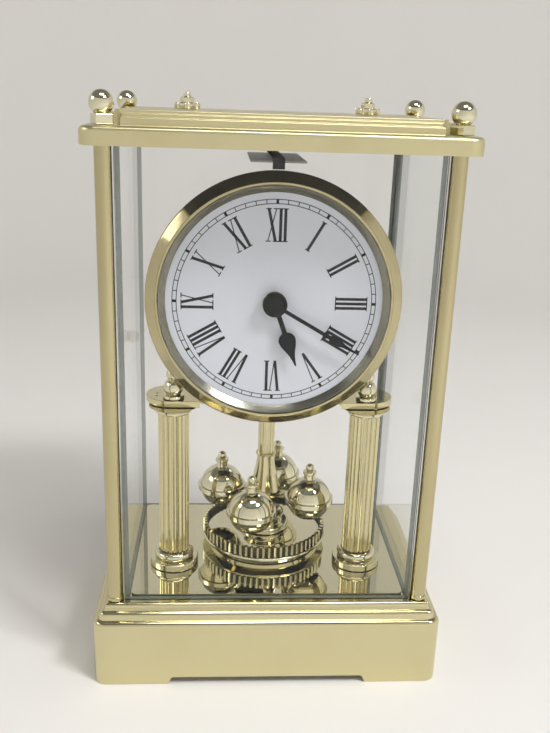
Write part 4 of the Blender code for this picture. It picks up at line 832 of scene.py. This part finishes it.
def build_rosette(name):
    """A scalloped washer under a six-sided nut and a small round cap."""
    low, high = box(name)
    spot, foot = middle(name), low.z
    loop = []
    for k in range(144):
        angle = 2 * math.pi * k / 144
        reach = 4.9 - 0.55 * abs(math.sin(angle * 6)) ** 0.7
        loop.append((reach * math.cos(angle), reach * math.sin(angle)))
    nut, cap = 2.65, 1.4
    bm = bmesh.new()
    plate(bm, loop, foot, foot + 2.2, Matrix.Translation(spot), 0.35)
    lathe(bm, eased([(0, foot + 4.4), (1.9, foot + 4.4), (nut, foot + 4.0), (nut, foot + 2.0),
                     (0, foot + 2.0)], 0.12, 2), spot, UPRIGHT, 6)
    lathe(bm, eased([(0, high.z), (cap, high.z), (cap, foot + 4.3), (0, foot + 4.3)], 0.35),
          spot, UPRIGHT, 32)
    finished(name + "_nut", bm, "bright_gilt", "clock", name, crease=28)


def build_roof():
    low, high = box("roof_shell")
    ledge, wall = low.z + 6.4, 2.2
    (outer, lower), (between, upper), inner = (5.6, ledge + 2.8), (8.6, ledge + 4.1), 11.2
    profile = [(inner + 2, high.z), (inner, high.z), (inner, upper), (between, upper),
               (between, lower), (outer, lower), (outer, ledge), (0, ledge),
               (0, low.z), (wall, low.z), (wall, ledge - wall)]
    bm = bmesh.new()
    moulding(bm, high.x, high.y, 6.0,
             eased(profile, [0, 0.5, 0.3, 0.6, 0.3, 0.7, 0.4, 2.0, 0.2, 0.3, 0], 6),
             round_steps=12)
    turns = {"finial_front_left": 25, "finial_front_right": 35, "finial_rear_left": 10,
             "finial_rear_right": 20}
    cutters, above, room = [], high.z + 2, 6.6
    for name in turns:
        cutter = bmesh.new()
        lathe(cutter, [(0, above), (room, above), (room, ledge), (0, ledge)], middle(name))
        cutters.append(cutter)
    finished("roof_moulding", cut(bm, cutters), "satin_gilt", "clock", "roof_shell")
    # The liner under the roof is dressed black as painted shade for the roof's shaded underside,
    # which the bezel's top arc reflects.
    dress("black_plastic", "roof_liner")
    for name, turn in turns.items():
        build_finial(name, turn, ledge)
    build_rosette("rosette_left")
    build_rosette("rosette_right")


# The columns
def build_dial_arm(side, sign, peg_y):
    """The flat arm on a column, rounded outside, with its peg to the dial housing."""
    low, high = box("dial_bracket_" + side)
    y, z = (low.y + high.y) / 2, (low.z + high.z) / 2
    half, half_thick, inner = (high.y - low.y) / 2, 1.3, 28.75
    end, outer = sorted((abs(low.x), abs(high.x)))
    loop = arc(half, -90, 90, (outer - half, y), 40) + [(inner, y + half), (inner, y - half)]
    if sign < 0:
        loop = [(-x, y) for x, y in reversed(loop)]
    bm = bmesh.new()
    plate(bm, loop, z - half_thick, z + half_thick, UPRIGHT, 0.28)
    pin, bead = 1.1, 1.8
    lathe(bm, eased([(0, inner + 1), (pin, inner + 1), (pin, inner - 2.1), (bead, inner - 3.1),
                     (bead, inner - 4.1), (pin, inner - 5.1), (pin, end), (0, end)], 0.5, 5),
          (0, peg_y, z), Matrix.Rotation(sign * math.pi / 2, 4, "Y"), 32)
    # Two near-black discs on the arm's top: painted shade standing in for two small holes.
    top, pit_radius = z + half_thick + 0.03, 0.45
    for along in (-3.6, -0.4):
        lathe(bm, [(0, top), (pit_radius, top), (pit_radius, top - 0.23), (0, top - 0.23)],
              (sign * 46.5, y + along, 0), UPRIGHT, 16, 1)
    finished("dial_arm_" + side, bm, ["gilt", "pit"], "clock", "dial_bracket_" + side)


def fluted(bm, node, flutes, top_radius, groove, flare=0.0, curve=1.0, rings=1, lift=0.0):
    """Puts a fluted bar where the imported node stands. lift shortens its foot."""
    low, high = box(node)
    add_mesh(bm, grow(fluted_tree, "gilt", Flutes=flutes, Top_Radius=top_radius, Flare=flare,
                      Curve=curve, Groove=groove, Height=high.z - low.z - lift, Rings=rings),
             middle(node) + Vector((0, 0, (low.z + high.z + lift) / 2)))


def build_column(side, sign):
    """One column, with the arm that carries the dial and the urn on top of it."""
    choice = sizes("columns")
    low, high = box("column_base_" + side)
    spot = middle("column_base_" + side)
    neck, bulge, torus, foot, step = 6.45, 1.8, 8.3, 10.3, low.z + 2.8
    profile = [(0, high.z - 1.6), (neck, high.z - 1.6), (neck, high.z - 0.2)]
    profile += arc(bulge, 84, -70, (torus - bulge, step + bulge), 16)
    profile += eased([(7.3, step), (foot - 0.1, step), (foot, low.z), (0, low.z)],
                     [0, 0.5, 0.2, 0])
    turned("column_foot_" + side, "column_base_" + side, "bright_gilt", profile, spot, steps=96)

    bm = bmesh.new()
    fluted(bm, "column_shaft_" + side, choice.flutes, 6.3, choice.flute_depth)
    finished("column_fluted_" + side, bm, "gilt", "clock", "column_shaft_" + side, crease=50)

    low, high = box("column_capital_" + side)
    bead, ring, slab = 0.9, 7.6, 10.1
    profile = eased([(0, high.z), (slab, high.z), (8.2, high.z - 1.0)], [0, 0.15, 0])
    profile += arc(bead, 70, -80, (ring - bead, low.z + bead), 12) + [(0, low.z)]
    turned("column_cap_" + side, "column_capital_" + side, "bright_gilt", profile, spot,
           steps=96)
    build_dial_arm(side, sign, spot.y)

    low, high = box("column_finial_" + side)
    urn, ball = 4.0, 2.9
    profile = [(0, high.z)] + arc(ball, 86, -52, (0, low.z + 9.8), 20)
    profile += arc(urn, 62, -48, (0, low.z + 4.2), 16)
    profile += eased([(2.9, low.z + 1.3), (4.3, low.z + 1.2), (4.4, low.z), (0, low.z)],
                     [0, 0.3, 0.2, 0])
    turned("column_urn_" + side, "column_finial_" + side, "bright_gilt", profile, spot)


def build_columns():
    build_column("left", -1)
    build_column("right", 1)


# The dial
def stroke(parts, x0, y0, x1, y1, width):
    """A stroke from foot to head with level ends."""
    parts.append([(x0 - width / 2, y0), (x0 + width / 2, y0), (x1 + width / 2, y1),
                  (x1 - width / 2, y1)])


def numeral(text, height, thick, thin):
    """A Roman numeral as four-sided strokes, its foot on 0 and its middle on 0."""
    serif, gap = 0.42 * thick, 0.62 * thick
    wide = {"I": thick, "V": 3.5 * thick, "X": 3.5 * thick}
    total = sum(wide[c] for c in text) + gap * (len(text) - 1)
    x = -total / 2
    parts = []
    for letter in text:
        right = x + wide[letter]
        if letter == "I":
            stroke(parts, x + thick / 2, 0, x + thick / 2, height, thick)
            bars = [(x, right, 0), (x, right, height - thin)]
        elif letter == "V":
            foot = (x + right) / 2
            stroke(parts, foot, 0, x + thick / 2, height, thick)
            stroke(parts, foot + thick * 0.2, 0, right - thin / 2, height, thin)
            bars = [(x, x + thick, height - thin), (right - thick / 2, right, height - thin)]
        else:
            stroke(parts, right - thick / 2, 0, x + thick / 2, height, thick)
            stroke(parts, x + thin, 0, right - thin, height, thin)
            bars = [(x, x + thick, height - thin), (right - thick, right, height - thin),
                    (x, x + thick, 0), (right - thick, right, 0)]
        for left, end, y in bars:
            parts.append([(left - serif, y), (end + serif, y), (end + serif, y + thin),
                          (left - serif, y + thin)])
        x = right + gap
    return parts


def clockwise(points, degrees):
    """The points turned clockwise round the origin."""
    cosine, sine = math.cos(math.radians(degrees)), math.sin(math.radians(degrees))
    return [(x * cosine + y * sine, y * cosine - x * sine) for x, y in points]


def dial_depths(node):
    """How far forward a piece of the dial starts and ends."""
    low, high = box(node)
    return -low.y, -high.y


def print_dial(centre, face):
    """The numerals and the minute track, which lie on the dial's face."""
    choice = sizes("dial")
    bm = bmesh.new()
    on_face = Matrix.Translation(centre) @ FORWARD
    low, high = face - 0.02, face + choice.print_height
    texts = ("XII", "I", "II", "III", "IIII", "V", "VI", "VII", "VIII", "IX", "X", "XI")
    height = choice.numeral_head - choice.numeral_foot
    for hour, text in enumerate(texts):
        for part in numeral(text, height, choice.stroke, choice.hairline):
            raised = [(x, y + choice.numeral_foot) for x, y in part]
            plate(bm, clockwise(raised, 30 * hour), low, high, on_face)
    for radius in (choice.track_inner, choice.track_outer):
        half = choice.track_line / 2
        lathe(bm, [(radius - half, high), (radius + half, high), (radius + half, low),
                   (radius - half, low)], centre, FORWARD, 160)
    minute_mark, hour_mark = 0.34, 1.05
    for count, width in ((60, minute_mark), (12, hour_mark)):
        add_mesh(bm, grow(tooth_tree, "ink", Count=count, Sides=4, Width=width,
                          Radius=(choice.track_inner + choice.track_outer) / 2,
                          Depth=choice.track_outer - choice.track_inner, Height=high - low),
                 centre + Vector((0, -(low + high) / 2, 0)), FORWARD)
    finished("dial_printing", bm, "ink", "clock")


def smooth_line(points, steps=6):
    """A smooth curve through the points."""
    out = []
    for k in range(len(points) - 1):
        p0, p1 = Vector(points[max(k - 1, 0)]), Vector(points[k])
        p2, p3 = Vector(points[k + 1]), Vector(points[min(k + 2, len(points) - 1)])
        for j in range(steps):
            t = j / steps
            spot = 0.5 * (2 * p1 + (p2 - p0) * t + (2 * p0 - 5 * p1 + 4 * p2 - p3) * t ** 2
                          + (3 * p1 - p0 - 3 * p2 + p3) * t ** 3)
            out.append(tuple(spot))
    return out + [tuple(points[-1])]


def hand_loop(hub, stem, side):
    """A hand's outline, anticlockwise, from the right side between its hub and its point."""
    start = math.sqrt(hub ** 2 - (stem / 2) ** 2)
    right = [(stem / 2, start)] + side
    left = [(-x, y) for x, y in reversed(right[:-1])]
    edge = math.degrees(math.atan2(start, -stem / 2))
    return right + left + arc(hub, edge, 540 - edge, steps=64)[1:-1]


def build_hands(centre):
    on_dial = Matrix.Translation(centre) @ FORWARD
    hub = 4.75
    hour_side = [(0.95, 11.8)] + smooth_line(
        [(1.05, 12.2), (2.2, 12.9), (3.15, 14.2), (3.35, 15.7), (2.75, 17.9), (1.5, 20.8),
         (0.75, 23.4), (0.3, 26.2)]) + [(0, 26.5)]
    minute_side = [(0.72, 22.4), (1.5, 22.6), (1.8, 23.1), (1.75, 23.7), (0.8, 24.2), (0.75, 25.2)]
    minute_side += smooth_line([(1.2, 25.6), (1.9, 26.5), (2.0, 27.7), (1.55, 29.3),
                                (0.85, 31.6), (0.55, 34.6), (0.25, 38.7)]) + [(0, 38.9)]
    for name, body, side, stem, turn in (("hour_hand", "hour", hour_side, 1.9, 160.0),
                                         ("minute_hand", "minute", minute_side, 1.45, 120.0)):
        front, rear = dial_depths(name)
        bm = bmesh.new()
        plate(bm, clockwise(hand_loop(hub, stem, side), turn), rear, front, on_dial, 0.12)
        finished(name + "_blade", bm, "hand_black", body, name)
    front, rear = dial_depths("hand_cap")
    turned("hand_boss", "hand_cap", "hand_black",
           eased([(0, front), (2.3, front), (3.3, front - 0.5), (3.3, rear), (0, rear)], 0.35),
           centre, FORWARD, body="minute")


def build_hanger():
    low, high = box("hanger_plate")
    bm = bmesh.new()
    block(bm, (low.x, low.y, high.z - 0.8), high, 0.2)
    block(bm, (-6.0, 3.4, low.z), (6.0, 4.2, high.z - 0.7), 0.2, 1)
    finished("hanger_bar", bm, ["hanger_sheet", "clear"], "clock", "hanger_plate", crease=20)
    dress("black_plastic", "hanger_strap")


def build_dial():
    low, high = box("bezel")
    centre = Vector(((low.x + high.x) / 2, 0, (low.z + high.z) / 2))
    outer, inner, crest, back = 50.3, 45.1, -low.y, -high.y
    profile = [(inner + 0.35, crest), (inner + 1.15, crest), (outer - 0.5, back + 1.7),
               (outer, back + 1.0), (outer, back), (inner, back), (inner, crest - 0.5)]
    turned("bezel_ring", "bezel", "brass", eased(profile, [0, 0.35, 0.6, 0.3, 0.2, 0.1, 0], 5),
           centre, FORWARD, 224)

    front, rear = dial_depths("reflector_ring")
    turned("dial_flange", "reflector_ring", "dulled_mirror",
           [(inner - 0.5, front), (inner - 0.15, front + 0.12), (inner - 0.05, front - 0.1),
            (inner - 0.3, rear), (42.4, rear)], centre, FORWARD, 192)

    bore, rim = 3.8, 44.2
    face, rear = dial_depths("dial_plate")
    turned("dial_face", "dial_plate", "dial_white",
           eased([(bore, face), (rim, face), (rim, rear), (bore, rear)], 0.1, 2),
           centre, FORWARD, 160)

    front, rear = dial_depths("dial_housing")
    flange, body, skin_depth = 47.3, 44.4, 1.2
    turned("dial_can", "dial_housing", "gilt",
           eased([(bore, front), (flange, front), (flange, front - skin_depth),
                  (body, front - skin_depth), (body, rear), (body - skin_depth, rear),
                  (body - skin_depth, front - skin_depth), (bore, front - skin_depth)],
                 0.25, 3), centre, FORWARD, 160)
    print_dial(centre, face)

    front, rear = dial_depths("dial_nut")
    nut = 4.6
    turned("dial_ring_nut", "dial_nut", "brass",
           eased([(bore, front), (nut, front), (nut, rear), (bore, rear)], 0.2, 3),
           centre, FORWARD, 48)
    build_hands(centre)
    build_hanger()


# The movement
def build_cell():
    low, high = box("battery")
    radius, button = (high.z - low.z) / 2, 2.6
    bm = bmesh.new()
    lathe(bm, eased([(0, high.x), (button, high.x), (button, high.x - 1.2),
                     (radius - 0.2, high.x - 1.2), (radius - 0.02, high.x - 2.0),
                     (radius - 0.02, low.x + 0.6), (radius - 0.5, low.x), (0, low.x)], 0.3),
          (0, (low.y + high.y) / 2, (low.z + high.z) / 2), SIDEWAYS, 48)
    for face in bm.faces:
        x = face.calc_center_median().x
        if x > high.x - 1.4 or x < low.x + 0.2:
            face.material_index = 1
    finished("cell", bm, ["cell_wrap", "steel"], "cell", "battery")


def build_movement():
    case_low, case_high = box("movement_case")
    cover_low, cover_high = box("movement_cover")
    knob_low, knob_high = box("setting_knob")
    back = case_high.y
    screw_x, screw_edge, latch_x, latch_half = 23.5, 2.2, 21, 1.6
    first_rib, rib_pitch, rib_width = cover_low.z + 4.5, 2.0, 0.9
    knob_z, well_inner, well_outer = (knob_low.z + knob_high.z) / 2, 6.2, 7.0
    bm = bmesh.new()
    for x in (-screw_x, screw_x):
        for z in (cover_low.z + screw_edge, cover_high.z - screw_edge):
            screw_head(bm, (x, back + 0.02, z), BACKWARD, 1.7)
    for k in range(6):
        z = first_rib + k * rib_pitch
        block(bm, (-19, back - 0.2, z), (-8, back + 0.45, z + rib_width), 0.18)
    lathe(bm, eased([(well_inner, 0.5), (well_outer, 0.5), (well_outer, 0), (well_inner, 0)],
                    0.12, 2), (0, back, knob_z), BACKWARD, 48)
    for x in (-latch_x, latch_x):
        block(bm, (x - latch_half, back - 0.3, case_low.z + 1.7),
              (x + latch_half, back + 0.5, case_low.z + 3), 0.2)
    finished("movement_fittings", bm, ["black_plastic", "pit"], "clock")
    dress("black_plastic", "movement_case", "movement_cover", "drive_case")
    dress("white_plastic", "hour_wheel", "minute_wheel")
    dress("steel", "minute_arbor")

    radius = (knob_high.x - knob_low.x) / 2
    spot = Vector(((knob_low.x + knob_high.x) / 2, 0, knob_z))
    bm = bmesh.new()
    lathe(bm, eased([(0, knob_high.y), (radius - 0.7, knob_high.y),
                     (radius - 0.4, knob_high.y - 0.4), (radius - 0.4, knob_low.y),
                     (0, knob_low.y)], 0.3), spot, BACKWARD, 48)
    add_mesh(bm, grow(tooth_tree, "black_plastic", Count=20, Sides=6, Radius=radius - 0.45,
                      Width=0.7, Depth=0.7, Height=knob_high.y - knob_low.y - 0.6),
             spot + Vector((0, (knob_low.y + knob_high.y) / 2, 0)), BACKWARD)
    finished("setting_knob_grip", bm, "black_plastic", "setting", "setting_knob")
    build_cell()


# The pendulum
def globe_profile(equator, top):
    """A ball's section: knob, dome, rim band, and a bowl that is open below."""
    radius, wall, rim_radius, rim, neck, collar, bead = 9.8, 1.0, 10.7, 1.1, 2.45, 2.95, 1.9
    flange = equator + radius + 2.2
    profile = [(0, top)] + arc(bead, 84, -50, (0, top - bead), 14)
    profile += eased([(1.2, flange + 1.2), (collar, flange + 1.1), (collar, flange),
                      (neck, flange - 0.3), (neck, equator + radius - 0.2)], 0.2)
    profile += arc(radius, 75, 6.6, (0, equator), 22)
    profile += eased([(radius - 0.02, equator + rim), (rim_radius, equator + rim),
                      (rim_radius, equator - rim), (radius - 0.02, equator - rim)],
                     [0, 0.14, 0.14, 0], 3)
    profile += arc(radius, -6.6, -50.8, (0, equator), 16)
    profile += arc(radius - wall, -49.8, 86, (0, equator), 24)
    return profile + [(0, equator + radius - wall)]


def build_pendulum():
    flutes = sizes("columns").tube_flutes
    foot, lip = box("support_tube")[0].z, 0.5
    bm = bmesh.new()
    fluted(bm, "support_tube", flutes, 3.65, 0.4, lift=lip)
    lathe(bm, [(0, foot + 2 * lip)] + arc(lip, 80, -80, (4.0, foot + lip), 10) + [(0, foot)],
          middle("support_tube"))
    finished("hanging_tube", bm, "gilt", "clock", "support_tube", crease=45)

    bm = bmesh.new()
    fluted(bm, "trumpet", flutes, 3.8, 0.5, flare=3.4, curve=1.6, rings=14)
    finished("bell_sleeve", bm, "gilt", "pendulum", "trumpet", crease=45)

    cross_low, cross_high = box("cross_arms")
    equator = (cross_low.z + cross_high.z) / 2
    for name in ("front", "right", "rear", "left"):
        node = "pendulum_ball_" + name
        turned("pendulum_globe_" + name, node, "bright_gilt",
               globe_profile(equator, box(node)[1].z), middle(node), steps=72, body="pendulum")
    dress("brass", "cross_arms")
    dress("steel", "pendulum_spindle")


def build_plinth():
    choice = sizes("pendulum")
    low, high = box("plinth_disc")
    spot = middle("plinth_disc")
    foot, flange, core = 24.4, 27.8, 25.2
    foot_top = low.z + 2.2
    flange_top = foot_top + 2.3
    profile = [(0, high.z), (core - 0.1, high.z), (core, flange_top), (flange - 0.3, flange_top),
               (flange, flange_top - 1.1), (foot, foot_top - 0.4), (foot - 0.3, low.z),
               (0, low.z)]
    turned("plinth_dish", "plinth_disc", "mirror_gilt",
           eased(profile, [0, 0.1, 0.2, 0.4, 0.7, 0.6, 0.2, 0], 5), spot, steps=128)

    low, high = box("gallery_ring")
    outer = (high.x - low.x) / 2
    inner, root, root_top = 25.5, outer - choice.tooth_depth, high.z - 0.7
    bm = bmesh.new()
    # The root ring between the teeth takes the groove finish: gilt darkened as painted shade in the
    # gaps.
    lathe(bm, eased([(inner, root_top), (root, root_top), (root, low.z), (inner, low.z)], 0.1, 2),
          spot, UPRIGHT, 132, 1)
    add_mesh(bm, grow(tooth_tree, "bright_gilt", Count=choice.teeth, Sides=8,
                      Radius=outer - choice.tooth_depth / 2 - 0.1, Width=choice.tooth_width,
                      Depth=choice.tooth_depth + 0.2, Height=high.z - low.z),
             (spot.x, spot.y, (low.z + high.z) / 2))
    finished("gallery", bm, ["bright_gilt", "groove"], "clock", "gallery_ring")

    low, high = box("guide_cup")
    bore, cup, mouth, lip, foot = 6.7, 7.8, 8.0, 9.0, 11.0
    foot_top = low.z + 2.4
    neck = (foot_top + high.z) / 2
    turned("spindle_cup", "guide_cup", "bright_gilt",
           eased([(0, low.z + 1.6), (bore, low.z + 1.6), (bore, neck), (mouth, high.z),
                  (lip, high.z), (lip, high.z - 0.8), (cup, neck), (cup, foot_top),
                  (foot - 0.4, foot_top), (foot, foot_top - 0.6), (foot, low.z), (0, low.z)],
                 0.35, 4), spot, steps=96)


# The stage
def build_backdrop():
    """A round sheet of pale card that rises into a wall on every side."""
    reach, wall_top, cove = 1.15, 0.95, 0.45
    quarter = [math.pi / 2 * k / 12 for k in range(1, 13)]
    profile = [(reach, wall_top), (reach, cove)]
    profile += [(reach - cove + cove * math.cos(t), cove - cove * math.sin(t)) for t in quarter]
    bm = bmesh.new()
    lathe(bm, profile + [(0, 0)], steps=128)
    bmesh.ops.reverse_faces(bm, faces=bm.faces)
    card = placed("backdrop", bm)
    card.data.materials.append(finish("floor"))
    card.data.shade_smooth()


def build_lamps():
    for name, spot, aim, size, watts, tint in (
            ("top_light", (0.1, -0.3, 1.15), (0, 0.2, 0.1), 0.45, 3.4, (1.0, 0.985, 0.96)),
            ("key_light", (0.62, -0.55, 1.05), (0, 0, 0.12), 0.3, 9.6, (0.97, 0.985, 1.0)),
            ("side_light", (-0.85, -0.15, 0.6), (0, 0, 0.12), 0.4, 0.9, (1.0, 0.99, 0.97))):
        data = bpy.data.lights.new(name, "AREA")
        data.shape = "RECTANGLE"
        data.size, data.size_y = size, size * 0.7
        data.energy = watts
        data.color = tint
        lamp = bpy.data.objects.new(name, data)
        bpy.context.scene.collection.objects.link(lamp)
        lamp.location = spot
        lamp.rotation_euler = (Vector(aim) - Vector(spot)).to_track_quat("-Z", "Y").to_euler()


def build_world():
    """The room above the card: dark in front, pale behind, even overhead."""
    world = bpy.data.worlds.new("studio")
    bpy.context.scene.world = world
    world.use_nodes = True
    bench = Bench(world.node_tree)
    way = bench.apart(bench.out("ShaderNodeTexCoord", output="Generated"))
    round_about = bench.ramp(way[1] * 0.5 + 0.5, (0.0, 0.04), (0.3, 0.05), (0.42, 0.3),
                             (0.5, 0.14), (0.6, 0.3), (0.8, 0.6), (1.0, 0.6))
    overhead = bench.ramp(way[2], (0.0, 0.0), (0.35, 0.0), (0.75, 1.0))
    sky = bench.mix(overhead, round_about, (0.2, 0.2, 0.2, 1.0))
    ground = world.node_tree.nodes["Background"]
    bench.feed(ground.inputs["Color"], sky)
    ground.inputs["Strength"].default_value = 1.0


def build_camera():
    """A camera where the photograph was taken from."""
    eye = Vector((-20.505, -333.59, 228.16)) * MM
    yaw, pitch, roll = 0.0679, -0.3114, 0.0341
    ahead = Vector((math.sin(yaw) * math.cos(pitch), math.cos(yaw) * math.cos(pitch),
                    math.sin(pitch)))
    level = Vector((math.cos(yaw), -math.sin(yaw), 0))
    over = level.cross(ahead)
    right = level * math.cos(roll) + over * math.sin(roll)
    up = over * math.cos(roll) - level * math.sin(roll)
    data = bpy.data.cameras.new("photo_view")
    data.sensor_fit = "HORIZONTAL"
    data.sensor_width = 36.0
    data.lens = 54.79
    data.clip_start = 0.01
    camera = bpy.data.objects.new("photo_view", data)
    bpy.context.scene.collection.objects.link(camera)
    camera.matrix_world = Matrix.Translation(eye) @ Matrix((right, up, -ahead)).transposed().to_4x4()
    bpy.context.scene.camera = camera
    bpy.context.scene.view_settings.view_transform = "Standard"


def build_stage():
    build_backdrop()
    build_lamps()
    build_world()
    build_camera()


# The add-on
class CLOCK_OT_base(bpy.types.Operator):
    """Build the stepped base and its underside"""
    bl_idname = "clock.base"
    bl_label = "Base"
    bl_options = {"REGISTER", "UNDO"}

    def execute(self, context):
        build_base()
        return {"FINISHED"}


class CLOCK_OT_case(bpy.types.Operator):
    """Build the clear panes, the rear door and the posts"""
    bl_idname = "clock.case"
    bl_label = "Case"
    bl_options = {"REGISTER", "UNDO"}

    def execute(self, context):
        build_case()
        return {"FINISHED"}


class CLOCK_OT_roof(bpy.types.Operator):
    """Build the roof with its finials and rosettes"""
    bl_idname = "clock.roof"
    bl_label = "Roof"
    bl_options = {"REGISTER", "UNDO"}

    def execute(self, context):
        build_roof()
        return {"FINISHED"}


class CLOCK_OT_columns(bpy.types.Operator):
    """Build the two columns and the dial's arms"""
    bl_idname = "clock.columns"
    bl_label = "Columns"
    bl_options = {"REGISTER", "UNDO"}

    def execute(self, context):
        build_columns()
        return {"FINISHED"}


class CLOCK_OT_dial(bpy.types.Operator):
    """Build the bezel, the dial with its printing and the hands"""
    bl_idname = "clock.dial"
    bl_label = "Dial"
    bl_options = {"REGISTER", "UNDO"}

    def execute(self, context):
        build_dial()
        return {"FINISHED"}


class CLOCK_OT_movement(bpy.types.Operator):
    """Build the movement's fittings, knob and cell"""
    bl_idname = "clock.movement"
    bl_label = "Movement"
    bl_options = {"REGISTER", "UNDO"}

    def execute(self, context):
        build_movement()
        return {"FINISHED"}


class CLOCK_OT_pendulum(bpy.types.Operator):
    """Build the hanging tube and the pendulum"""
    bl_idname = "clock.pendulum"
    bl_label = "Pendulum"
    bl_options = {"REGISTER", "UNDO"}

    def execute(self, context):
        build_pendulum()
        return {"FINISHED"}


class CLOCK_OT_plinth(bpy.types.Operator):
    """Build the plinth, the gallery and the cup"""
    bl_idname = "clock.plinth"
    bl_label = "Plinth"
    bl_options = {"REGISTER", "UNDO"}

    def execute(self, context):
        build_plinth()
        return {"FINISHED"}


class CLOCK_OT_stage(bpy.types.Operator):
    """Build the floor, the lights and the camera"""
    bl_idname = "clock.stage"
    bl_label = "Stage"
    bl_options = {"REGISTER", "UNDO"}

    def execute(self, context):
        build_stage()
        return {"FINISHED"}


STEPS = [CLOCK_OT_base, CLOCK_OT_case, CLOCK_OT_roof, CLOCK_OT_columns, CLOCK_OT_dial,
         CLOCK_OT_movement, CLOCK_OT_pendulum, CLOCK_OT_plinth, CLOCK_OT_stage]


class CLOCK_PT_panel(bpy.types.Panel):
    """The clock's pieces and their settings."""
    bl_idname = "CLOCK_PT_panel"
    bl_label = "Anniversary clock"
    bl_space_type = "VIEW_3D"
    bl_region_type = "UI"
    bl_category = "Clock"

    def draw(self, context):
        for group in ("finishes", "dial", "columns", "pendulum"):
            rows = self.layout.box()
            values = getattr(settings(), group)
            for name in values.__annotations__:
                rows.prop(values, name)
        for step in STEPS:
            self.layout.operator(step.bl_idname)


CLASSES = [CLOCK_PG_finishes, CLOCK_PG_dial, CLOCK_PG_columns, CLOCK_PG_pendulum,
           CLOCK_PG_settings, *STEPS, CLOCK_PT_panel]


def register():
    for each in CLASSES:
        bpy.utils.register_class(each)
    bpy.types.Scene.anniversary_clock = PointerProperty(type=CLOCK_PG_settings)


def unregister():
    del bpy.types.Scene.anniversary_clock
    for each in reversed(CLASSES):
        bpy.utils.unregister_class(each)


def main():
    register()
    for step in STEPS:
        getattr(bpy.ops.clock, step.bl_idname.split(".")[1])()


if __name__ == "__main__":
    main()
